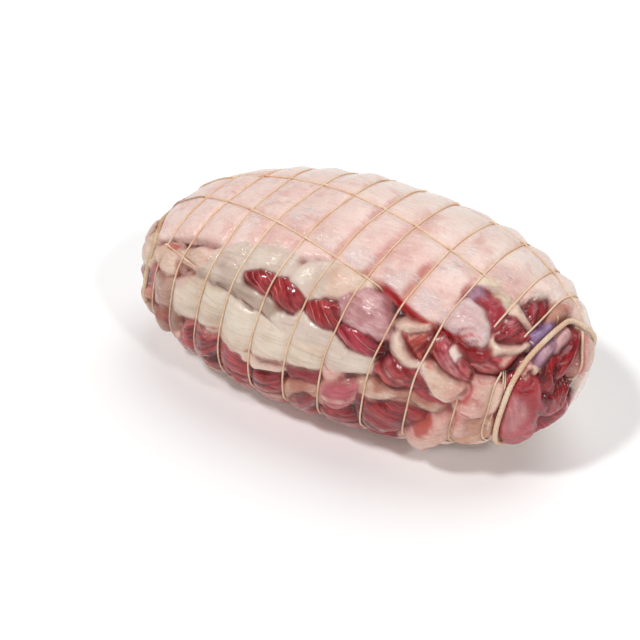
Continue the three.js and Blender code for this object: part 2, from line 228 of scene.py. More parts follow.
# ---------------------------------------------------------------------------------------------------------
# Noise over the surface
# ---------------------------------------------------------------------------------------------------------
def waves(p, size, seed):
    """The slow waves that the part's solids carry too."""
    k = 2 * np.pi / size
    x, y, z = p[..., 0], p[..., 1], p[..., 2]
    a = np.sin(k * (0.9 * x + 0.35 * y) + seed * 1.7)
    b = np.sin(k * (0.8 * y - 0.5 * z) + seed * 2.9 + a)
    c = np.sin(k * (0.85 * z + 0.3 * x) + seed * 4.3 + b)
    return (a + b + c) / 3


def hashed(ix, iy, iz, seed):
    mask = 0xFFFFFFFF
    h = (ix * 73856093) ^ (iy * 19349663) ^ (iz * 83492791) ^ (seed * 2654435761)
    h = h & mask
    h = ((h ^ (h >> 13)) * 1274126177) & mask
    h = ((h ^ (h >> 16)) * 2246822519) & mask
    return ((h >> 8) & 0xFFFF) / 32767.5 - 1.0


def noise(p, size, seed):
    """Smooth value noise, about -1 to 1, with features of this size in mm."""
    q = p / size + 100.0
    cell = np.floor(q).astype(np.int64)
    t = q - cell
    t = t * t * t * (t * (t * 6 - 15) + 10)
    total = 0.0
    for dx in (0, 1):
        wx = t[..., 0] if dx else 1 - t[..., 0]
        for dy in (0, 1):
            wy = t[..., 1] if dy else 1 - t[..., 1]
            for dz in (0, 1):
                wz = t[..., 2] if dz else 1 - t[..., 2]
                corner = hashed(cell[..., 0] + dx, cell[..., 1] + dy, cell[..., 2] + dz, seed)
                total = total + wx * wy * wz * corner
    return total


# ---------------------------------------------------------------------------------------------------------
# Colours (sRGB) and tissues
# ---------------------------------------------------------------------------------------------------------
PALETTE = {
    # name: (main, what it is mottled with)
    "cap pink": ((236, 202, 193), (242, 220, 210)),
    "cap cream": ((248, 232, 220), (243, 221, 211)),
    "cap rose": ((228, 184, 174), (236, 202, 192)),
    "salmon": ((196, 118, 106), (214, 152, 138)),
    "cream": ((226, 196, 176), (214, 176, 156)),
    "pale cream": ((232, 208, 188), (222, 188, 170)),
    "silver pink": ((224, 196, 196), (232, 212, 208)),
    "silver": ((218, 199, 186), (206, 184, 168)),
    "silverskin": ((216, 195, 174), (204, 180, 158)),
    "silverskin light": ((224, 205, 186), (214, 192, 172)),
    "grey strip": ((188, 166, 150), (166, 142, 126)),
    "grey pink": ((192, 158, 140), (172, 132, 116)),
    "tan fat": ((196, 148, 126), (178, 118, 98)),
    "brown fat": ((164, 120, 98), (132, 86, 68)),
    "yellow fat": ((214, 170, 142), (202, 146, 122)),
    "rose fat": ((226, 180, 166), (214, 152, 140)),
    "rose red": ((194, 88, 94), (168, 58, 66)),
    "red": ((188, 60, 62), (156, 38, 46)),
    "deep red": ((170, 34, 42), (138, 18, 28)),
    "bright red": ((198, 36, 42), (170, 18, 30)),
    "blood": ((168, 4, 20), (138, 0, 12)),
    "orange red": ((196, 98, 80), (174, 74, 58)),
    "brown red": ((170, 74, 62), (136, 46, 46)),
    "purple red": ((186, 62, 80), (158, 40, 60)),
    "purple pink": ((200, 108, 116), (176, 80, 94)),
    "dusk": ((166, 52, 62), (136, 32, 42)),
    "lilac": ((180, 150, 170), (164, 126, 156)),
    "blue lilac": ((162, 142, 190), (134, 108, 154)),
    "lilac veil": ((214, 180, 178), (200, 158, 158)),
    # crease and black red: dark reds that paint shade in folds, crevices and hollows
    "crease": ((92, 26, 26), (66, 14, 18)),
    "black red": ((46, 14, 14), (32, 8, 10)),
    "wet orange": ((188, 78, 62), (168, 58, 50)),
    "orange pink": ((208, 142, 118), (196, 122, 104)),
    "white fat": ((240, 226, 216), (230, 206, 194)),
    "white silver": ((230, 220, 204), (218, 204, 184)),
    "olive cream": ((224, 208, 182), (214, 194, 166)),
    # sky lilac: the pale lilac of the painted highlight on the blue lobe
    "sky lilac": ((190, 184, 222), (168, 160, 206)),
}


def linear(colour):
    c = np.asarray(colour, float) / 255.0
    return np.where(c <= 0.04045, c / 12.92, ((c + 0.055) / 1.055) ** 2.4)


def shade(name, which=0):
    """A palette colour in linear light: 0 the main one, 1 what it is mottled with."""
    return linear(PALETTE[name][which])


LOOKS = ("grain", "wet", "wrinkle", "streaks", "stripes", "seam")
KIND_KEYS = ("drop", "round") + LOOKS
KINDS = {
    # how far the edge lies below the crown, mm of rounding at the edge, how much muscle grain, wetness,
    # wrinkling, silverskin streaks and pale stripes the surface carries, mm of seam along its edge
    "muscle": (2.8, 6.0, 1.0, 1.0, 0.15, 0.0, 0.25, 0.8),
    "veil": (2.2, 5.0, 0.35, 0.9, 0.4, 0.0, 0.0, 0.7),
    "fat": (2.6, 4.5, 0.0, 0.6, 0.7, 0.0, 0.0, 0.7),
    "flap": (2.2, 1.6, 0.0, 0.6, 0.6, 0.0, 0.0, 0.3),
    "sheet": (1.5, 3.0, 0.0, 0.6, 0.4, 1.0, 0.0, 0.0),
    "gap": (0.8, 3.0, 0.3, 1.0, 0.2, 0.0, 0.0, 0.3),
}
CAP_KIND = dict(zip(LOOKS, (0.0, 0.7, 0.35, 0.0, 0.0, 0.0)))
GROUND_KIND = dict(zip(LOOKS, (0.4, 0.9, 0.3, 0.0, 0.0, 0.0)))

# name, kind, tone, crown in mm over the envelope, turn of its grain from the roll's direction, outline as
# (station, angle) corners
PATCHES = [
    ("fold lobe", "fat", "silver pink", 2.4, 60,
     "53,36 53,29 54,23 56,20 60,20 65,23 69,27 72,36 72,42 69,44 65,43 61,41 57,41 54,39"),
    ("red beside the fold", "veil", "rose red", 0.2, 20,
     "54,19 53,15 55,11 61,11 66,13 71,15 72,22 71,29 67,24 61,20"),
    ("lilac corner", "veil", "lilac", 0.5, 20, "53,16 55,11 60,12 62,15 59,18 55,19"),
    ("cream streak", "fat", "pale cream", 0.9, 10,
     "62,11 66,8 70,7 74,8 79,10 84,13 80,15 74,16 69,14 65,14"),
    ("purple knuckle", "muscle", "purple red", 1.2, -60,
     "73,35 71,29 71,21 72,16 75,14 80,17 85,20 84,26 81,30 77,33"),
    ("knuckle fat", "flap", "pale cream", 1.3, -50,
     "71.8,31 73,32.5 75,36.5 78.5,37 82,32 85,25.5 86.3,27.5 84.3,34.5 80,41 77.5,46 75.3,43.5 73,38"),
    ("under the knuckle", "veil", "rose red", 0, -60,
     "76,47 80,43 83,35 86,29 87,37 86,46 84,54 82,52 79,50"),
    ("red fold", "gap", "bright red", -1.6, 40, "53,44 58,41 62,42 67,44 70,45 66,49 62,49 57,48 54,46"),
    ("red gap", "gap", "blood", -2.4, 30, "64,49 68,45 72,43 75,40 78,48 75,54 70,54 66,52"),
    ("orange muscle", "muscle", "orange red", 0.6, -70,
     "41,52 46,50 50,47 53,44 54,50 54,58 53,66 48,61 44,58"),
    ("cream crescent", "fat", "pale cream", 1.4, 60,
     "41,52 42,56 45,60 49,64 53,67 53,70 48,70 43,67 39,62 38,57"),
    # Brown red, partly the muscle's colour and partly painted shade behind the orange muscle
    ("brown muscle behind", "veil", "brown red", 0, -60, "53,60 53,50 55,46 57,48 56,55 55,63"),
    ("purple lobe", "muscle", "purple pink", 1.4, 40,
     "55,56 56,49 58,46 63,46 67,51 70,55 74,62 75,66 73,70 71,69 66,67 62,64 58,61"),
    ("cream flap", "flap", "cream", 1.7, 30,
     "53,67 56,73 60,78 63,83 67,85.5 70,85 72,79 74,72 70,70 66,68 61,66 57,65"),
    ("large red lobe", "muscle", "rose red", 1, 30,
     "35,77 39,73 42,70 46,71 53,70 58,76 60,80 56,82.5 52,84 46,85 40,82"),
    ("messy fat strip", "fat", "tan fat", 0.6, 0,
     "30,86 37,84 42,86 48,86.5 56,83 62,86 69,88 67,91 62,92 55,91 49,91 42,93 36,93 31,91"),
    ("purple brown muscle", "veil", "rose red", 0.2, 20, "58,79 63,84 69,87 66,90 62,87 58,85 54,83"),
    ("deep red muscle", "muscle", "deep red", 0.6, 20,
     "33,93 38,92 43,93 50,90 58,91 63,94 62,99 57,106 50,118 43,122 36,118 33,107"),
    ("pale bulge", "fat", "rose fat", 3, -10,
     "52,117 59,101 64,94 66,92 72,91 77,94 79,104 76,110 70,118 62,136 54,136 51,126"),
    ("pale fat lobe", "fat", "rose fat", 1.7, -60,
     "71,89 71,80 75,74 75,67 77,64 82,63 85.5,66 87,74 88,81 86,89 82,92 77,93 74,92"),
    ("dusky muscle", "muscle", "dusk", -0.6, 0, "70,54 74,54 78,50 82,50 84,56 80,61 75,62"),
    ("fat below", "fat", "yellow fat", 0.6, 20,
     "70,91 77,93 82,93 86,91 87.5,102 86.5,114 82,126 74,124 71,112 71,98"),
    ("dark island", "muscle", "dusk", 0, 70, "74,2 75,-1 77,-6 81,-6 84,-1 84,6 83,11 79,9 76,6"),
    ("wrinkled end fat", "fat", "tan fat", 0.6, 80, "82,-5 81,-14 84,-26 88,-24 89,-8 87,0 85,2"),
    ("blue lobe", "veil", "blue lilac", 1, -70, "84,19 84,14 85,7 87,1 90,2 90,10 89,18 87,24"),
    ("lilac lobe", "veil", "lilac", 0.9, 80, "89,26 89,19 91,8 93,9 94,18 94,31 94,40 91,36"),
    ("lilac lobe behind", "veil", "lilac veil", 0.9, 80, "91,7 90,-2 92,-7 94,-4 94.5,6 94,15"),
    ("end muscle behind", "muscle", "deep red", 1.2, 75,
     "93,-6 95,-18 98,-16 100,-5 101,12 101,42 99,37 97,21 96,8 95,0"),
    ("end muscle front", "muscle", "deep red", 1, 75,
     "96,47 95,28 95,12 95.5,3 97,17 99,34 101,44 101,67 98,60"),
    ("end muscle below", "muscle", "deep red", 0.8, 80,
     "99,67 102,50 103,25 104.3,66 104.3,121 102,112 100,95"),
    ("end lower lobe", "veil", "rose red", 1.9, 70,
     "86,67 88,56 91,49 95,49 99,67 101,86 100,104 99,132 95,147 90,144 88,120 88,100 87,83"),
    ("end muscle underneath", "muscle", "purple red", 0.5, 80,
     "104.6,100 103,126 100,148 96,150 92,160 93,184 98,204 103,196 104.7,150"),
    # A black red patch sunk in the crevice beside the cord: painted shade
    ("end crevice", "gap", "black red", -3.4, -80,
     "84,35 85.5,27 88,28.5 88,39 87.5,50 86.5,60 84.5,59 84.5,51.5 84.5,43"),
    ("tan fold", "fat", "cream", 1, -60,
     "37.5,51 40.5,45.5 44.5,45 49,40.5 52,42.5 52,46 48,48.5 44,52 40.5,53.5"),
    ("frayed fold", "veil", "brown red", 0.2, 60, "90,43 93,36 95,44 94,54 92,54"),
    ("end wrap rim", "fat", "rose fat", 0.7, 60,
     "95,-20 97,-46 99,-62 102,-66 104,-60 104.5,-40 104,8 102,-1 99,-16"),
    ("silverskin a", "sheet", "silverskin", 0.7, 4,
     "-67,74 -59,67 -50,66 -41,68 -35,69 -33,79 -31,91 -37,91 -50,90 -59,91 -65,90 -67,81"),
    ("silverskin b", "sheet", "silverskin light", 0.8, 4,
     "-36,69 -27,70 -18,72 -16,81 -16,92 -22,93 -29,93 -32,91 -34,79"),
    ("silverskin c", "sheet", "silverskin light", 0.8, 4,
     "-19,72 -10,74 -2,76 -1,83 -1,90 -10,92 -17,92.5 -18,81"),
    ("silverskin d", "sheet", "silverskin light", 0.7, 4, "-3,76 5,77 14,77 16,86 8,89 -2,90 -2,83"),
    ("silverskin e", "sheet", "silver", 0.6, -8, "13,77 20,75 27,71 34,71 36,80 28,83 15,87"),
    ("grey strip", "sheet", "grey strip", -0.2, 4,
     "-60,60 -48,59 -39,59 -29,60 -19,61 -11,65 -13,71 -18,70 -27,68 -36,67 -46,66 -56,65"),
    ("grey membrane", "sheet", "silver", 0.2, 0,
     "-61,54 -54,45 -45,38 -34,35 -25,33 -17,35 -16,46 -24,48 -31,50 -35,53 -37,60 -48,60"),
    ("red muscle a", "muscle", "red", 0.4, 40,
     "-35,53 -31,49 -25,48 -20,48 -19,52 -20,57 -21,61 -25,61 -30,58"),
    ("red muscle b", "muscle", "red", 0.5, 45, "-19,57 -19,50 -15,48 -9,49 -5,52 -2,58 -3,64 -8,64 -15,61"),
    ("red muscle c", "muscle", "red", 0.5, 50, "-2,54 3,51 11,52 14,56 15,62 12,66 6,65 1,62"),
    ("red muscle d", "muscle", "purple red", 0.4, 30, "14,64 19,59 26,60 32,60 36,71 29,72 21,69"),
    ("pale web", "sheet", "silver", 0.3, 20, "-14,46 -10,36 0,33 4,44 4,51 -1,55 -4,52 -10,50"),
    ("lilac membrane", "veil", "lilac veil", 0.7, 10,
     "10,48 14,41 21,38 28,41 35,52 37,60 32,61 24,60 16,58"),
    ("pale web past it", "sheet", "cream", 0.4, 0, "-2,40 2,33 11,32 20,35 18,41 11,48 3,48"),
    ("web between the muscles", "sheet", "silver", -0.1, 0,
     "-5,66 -1,62 6,66 13,66 20,70 24,74 8,76 -10,74 -14,68"),
    ("shoulder a", "fat", "cream", 1, -10, "-74,54 -66,51 -60,46 -53,48 -52,57 -56,62 -63,63 -71,61"),
    ("shoulder b", "fat", "cream", 1.2, 20, "-87,59 -80,51 -73,56 -69,66 -71,73 -80,74 -87,67"),
    ("grey shoulder", "fat", "grey pink", 0.8, -40, "-83,76 -78,74 -70,72 -66,81 -66,90 -77,97 -82,88"),
    ("wrinkled fat", "fat", "brown fat", 1, -30, "-82,101 -76,96 -65,88 -59,94 -60,106 -70,110 -78,110"),
    ("left red lobe", "muscle", "red", 1.8, -20,
     "-61,104 -58.5,93 -54,89.5 -48,89 -42.5,90 -37,89.5 -35.5,93 -37.5,101 -42,110 -51,117 -56.5,117 "
     "-60,112"),
    ("left knob", "fat", "rose fat", 1.6, 20, "-65.5,106 -62,100 -59,99 -58,104 -61,113 -65,116"),
    ("bottom fat band", "fat", "tan fat", 0.7, 0,
     "-51,119 -42,116 -33,116.5 -27,117.5 -17,116 -9,115 -3,114.5 3,117 5,122 -5,124 -15,122 -24,123 "
     "-33,124 -44,125"),
    ("left red muscle", "muscle", "red", 0.4, 10,
     "-36,90 -30,90.5 -22,92 -18,98 -18,118 -26,117 -35,111 -37,99"),
    ("thin fat strip", "flap", "pale cream", 0.9, 4,
     "-24,93 -17,93.5 -13,95 -3,92 -1,93 -5,96 -13,99 -20,97.5"),
    ("low red muscle", "muscle", "deep red", 0.2, -20,
     "-18,100 -11,100.5 -4,97.5 0,104 -3,115 -12,119 -18,116"),
    ("dark patch", "veil", "dusk", -0.2, -10, "-2,91 8,90 14,89 15,94 7,97 0,98"),
    ("pink triangle", "fat", "rose fat", 0.7, -40, "14,85 17,82 24,84 23,90 16,91"),
    ("round banded lobe", "veil", "purple pink", 1.3, -20,
     "14,95 20,90 27,88.5 33,87 34,91 32,97 26,106 19,107 16,101"),
    ("dark oval", "muscle", "deep red", 0.5, -40, "0,122 4,109 11,103 16,105 14,115 5,132"),
    ("oval rim", "fat", "tan fat", 0.3, -30, "0,100 7,97 14,95 18,101 19,112 11,104 5,108 0,119 -2,108"),
    ("far fat lobe", "fat", "cream", 1.4, -30, "-100,68 -96,51 -93,42 -89,50 -87,62 -86,73 -88,81 -95,79"),
    ("far purple strip", "veil", "purple pink", -0.2, 80, "-86,72 -83,74 -81,88 -83,96 -87,84"),
    ("far lump", "fat", "orange pink", 1.4, -40, "-95,108 -88,91 -83,91 -85,103 -93,113"),
    ("left under muscle", "muscle", "brown red", 0, 0,
     "-70,112 -58,108 -44,110 -30,112 -30,130 -50,136 -68,130"),
    ("middle under muscle", "veil", "rose red", 0, 0, "-29,116 -10,119 10,120 12,134 -10,136 -28,132"),
    ("right under muscle", "muscle", "red", -0.1, 0, "16,110 30,108 38,122 50,124 50,136 28,136 14,130"),
    ("far low lobe", "fat", "grey pink", 0.8, 10, "-100,118 -92,110 -80,112 -72,124 -80,136 -96,136"),
]

# The rolled layers on the face of the far end, outlines as (mm from its tip, angle) corners
FAR_PATCHES = [
    ("far filling", "muscle", "red", -0.9, 30, "27,0 27,45 27,90 27,135 27,180 27,-135 27,-90 27,-45"),
    ("far outer muscle", "muscle", "deep red", 0.9, 70,
     "23,-155 24,-125 24,-95 24,-65 23.5,-35 23,-5 21,15 13,12 13,-25 12.5,-60 12.5,-95 13,-130 "
     "13.5,-155"),
    ("far fat seam", "flap", "cream", 0.9, 80,
     "14,-162 13.5,-125 13.5,-90 13.5,-55 13.5,-20 14,15 14,42 10.5,44 9.5,5 9.5,-35 9.5,-75 9.5,-115 "
     "10,-158"),
    ("far inner muscle", "muscle", "red", 1.2, 40, "9,-150 9,-105 9,-60 9,-15 10,25 8,60 5,110 5,170"),
    ("far core", "fat", "pale cream", 1.3, 10, "5,95 8,68 12,74 14,95 11,120 6,132"),
    ("far front fat", "fat", "cream", 1.3, -30, "12,36 21,24 24,45 24,70 17,78 13,60"),
    ("far low muscle", "muscle", "brown red", 1.1, 20, "8,150 13,105 23,93 25,120 24,152 14,166"),
    ("far low fat", "fat", "rose fat", 1.1, -60, "12,172 23,158 25,180 24,202 13,200"),
]

# Small bits of fat and silver on the muscles: name, tone, crown, outline
FLECKS = [
    ("teardrop", "white fat", 2.1, "62,50 63,48.5 66,50.5 66.5,54.5 65.5,58.5 63.5,56 62,53.5"),
    ("grey bit", "silver", 1, "73,-2 74.5,-3.5 76,-5.5 77.5,-4.5 77,-1.5 75.5,-0.5"),
    ("knuckle speck a", "white fat", 1.7, "73,22 73,19.5 74,20.5 74,23"),
    ("knuckle speck b", "white fat", 1.7, "73,26.5 73.5,24.5 74,26.5"),
    ("knuckle speck c", "white fat", 1.6, "73,31.5 73.5,28.5 74,30.5"),
    ("left dot", "white fat", 1.6, "-53.5,99.5 -51.5,97.5 -50.5,99 -52,102.5 -53.5,103"),
    ("flap tip", "white fat", 2, "53,68 54.5,66.5 56,68.5 56,71.5 54,70.5"),
    ("membrane tongue", "pale cream", 0.9, "64,12 65,9.5 69.5,9.5 70.5,13.5 68,14"),
    ("rib on the red lobe", "rose fat", 1.5, "42,75 43,74.5 46,76.5 46.5,78 44,77"),
    ("second rib on it", "rose fat", 1.5, "47,78 49,78 52,79.5 51,80.5 48,79.5"),
    ("streak on the left lobe", "rose red", 1.5, "-48,96 -45,95.5 -41,98 -42,100 -46,98.5"),
    ("band on the round lobe", "rose fat", 1.8, "17,98 22,96 29,96 28,98.5 22,99.5 18,101"),
    ("frayed bit a", "rose fat", 1.6, "89,41 90,38 91,41 90.5,44"),
    ("frayed bit b", "cream", 1.6, "91.5,42 93,39 94,42.5 93,45.5"),
    ("frayed bit c", "rose fat", 1.6, "89.5,48 91,48 91.5,53.5 90.5,54"),
    ("fat on the lower lobe", "rose fat", 2.3, "95,112 98,114 99,122 97,127 95.5,120"),
]

# What sets some patches apart from their kind
EXTRAS = {
    "red muscle a": {"drop": 1.3, "round": 3.0, "stripes": 1.0},
    "red muscle b": {"drop": 1.3, "round": 3.0, "stripes": 1.0},
    "red muscle c": {"drop": 1.4, "round": 3.0, "stripes": 1.0},
    "red muscle d": {"drop": 1.6, "round": 3.0, "stripes": 0.6},
    "lilac membrane": {"drop": 1.4},
    "pale web": {"drop": 1.0},
    "pale web past it": {"drop": 1.0},
    "web between the muscles": {"drop": 0.9},
    "grey strip": {"drop": 0.8, "round": 1.5, "streaks": 1.0},
    "grey membrane": {"drop": 0.8, "streaks": 0.6},
    "red beside the fold": {"drop": 1.6},
    "end crevice": {"seam": 0.0},
    "lilac corner": {"drop": 1.2},
    "left red lobe": {"rim": "rose fat"},
    "round banded lobe": {"rim": "rose fat"},
    "dark oval": {"rim": "tan fat"},
    "end muscle behind": {"rim": "rose red"},
    "purple lobe": {"rim": "rose fat"},
    "deep red muscle": {"drop": 2.0},
}

OUTLINE_STEPS = 4
STEPS_A_SPAN = 24


def curve_point(before, here, after, beyond, t):
    """A Catmull-Rom curve from here to after, at this share of the way."""
    a = 2 * here + (after - before) * t
    b = (2 * before - 5 * here + 4 * after - beyond) * t**2
    d = (3 * here - before - 3 * after + beyond) * t**3
    return 0.5 * (a + b + d)


def rounded(corners):
    """A closed outline through the corners, with curves between them."""
    c = np.asarray(corners, float)
    before, after, beyond = np.roll(c, 1, 0), np.roll(c, -1, 0), np.roll(c, -2, 0)
    found = []
    for step in range(OUTLINE_STEPS):
        t = step / OUTLINE_STEPS
        found.append(curve_point(before, c, after, beyond, t))
    return np.stack(found, 1).reshape(-1, 2)


def inside_distance(points, outline):
    """Distance from each 2D point to the outline, positive inside it."""
    nearest = np.full(len(points), np.inf)
    inside = np.zeros(len(points), bool)
    for a, b in zip(outline, np.roll(outline, -1, 0)):
        edge = b - a
        to_point = points - a
        t = np.clip((to_point @ edge) / max(edge @ edge, 1e-9), 0, 1)
        nearest = np.minimum(nearest, ((to_point - t[:, None] * edge) ** 2).sum(-1))
        crosses = (a[1] > points[:, 1]) != (b[1] > points[:, 1])
        rise = edge[1] if abs(edge[1]) > 1e-12 else 1e-12
        inside ^= crosses & (points[:, 0] < a[0] + edge[0] * (points[:, 1] - a[1]) / rise)
    return np.where(inside, 1, -1) * np.sqrt(nearest)


PATCH_DEPTH = 18.0  # a patch ends this far below or above its own plane
PATCH_MARGIN = 3.0


class Patch:
    """A muscle, flap or piece of fat: its own plane, its outline in it and its looks."""

    def __init__(self, kind, tone, crown, turn, corners, **extras):
        self.kind = dict(zip(KIND_KEYS, KINDS[kind]))
        self.kind.update({key: value for key, value in extras.items() if key in KIND_KEYS})
        self.rim = shade(extras["rim"]) if "rim" in extras else None
        self.tone = [shade(tone), shade(tone, 1)]
        self.crown = crown
        at = frame_at(*np.array(corners).T)
        self.origin = at["place"].mean(0)
        self.normal = unit(at["normal"].mean(0))
        forward = at["forward"].mean(0)
        forward = unit(forward - self.normal * (forward @ self.normal))
        around = np.cross(forward, self.normal)
        c, s = np.cos(np.radians(turn)), np.sin(np.radians(turn))
        self.long = forward * c + around * s
        self.cross = around * c - forward * s
        self.outline = rounded(self.flat(at["place"]))
        self.reach = np.abs(self.outline).max() * 1.5 + PATCH_MARGIN

    def flat(self, p):
        d = p - self.origin
        return np.stack([d @ self.long, d @ self.cross], -1)


def fleck_patch(tone, crown, corners):
    return Patch("flap", tone, crown, 0.0, corners, drop=1.1, round=0.8, seam=0.0)


def far_face(distance, angle):
    """The station and angle of the place on the far end's face this many mm from its tip."""
    share = distance / MEAN_RADIUS
    reach = (1 - share ** FAR_END[1]) ** (1 / FAR_END[0])
    return HALF_LENGTH * (WIDEST - reach * (1 + WIDEST)), angle


patches = [Patch(*row, places(outline), **EXTRAS.get(name, {})) for name, *row, outline in PATCHES]
for _, *row, outline in FAR_PATCHES:
    patches.append(Patch(*row, [far_face(*corner) for corner in places(outline)]))
patches += [fleck_patch(*row, places(outline)) for _, *row, outline in FLECKS]
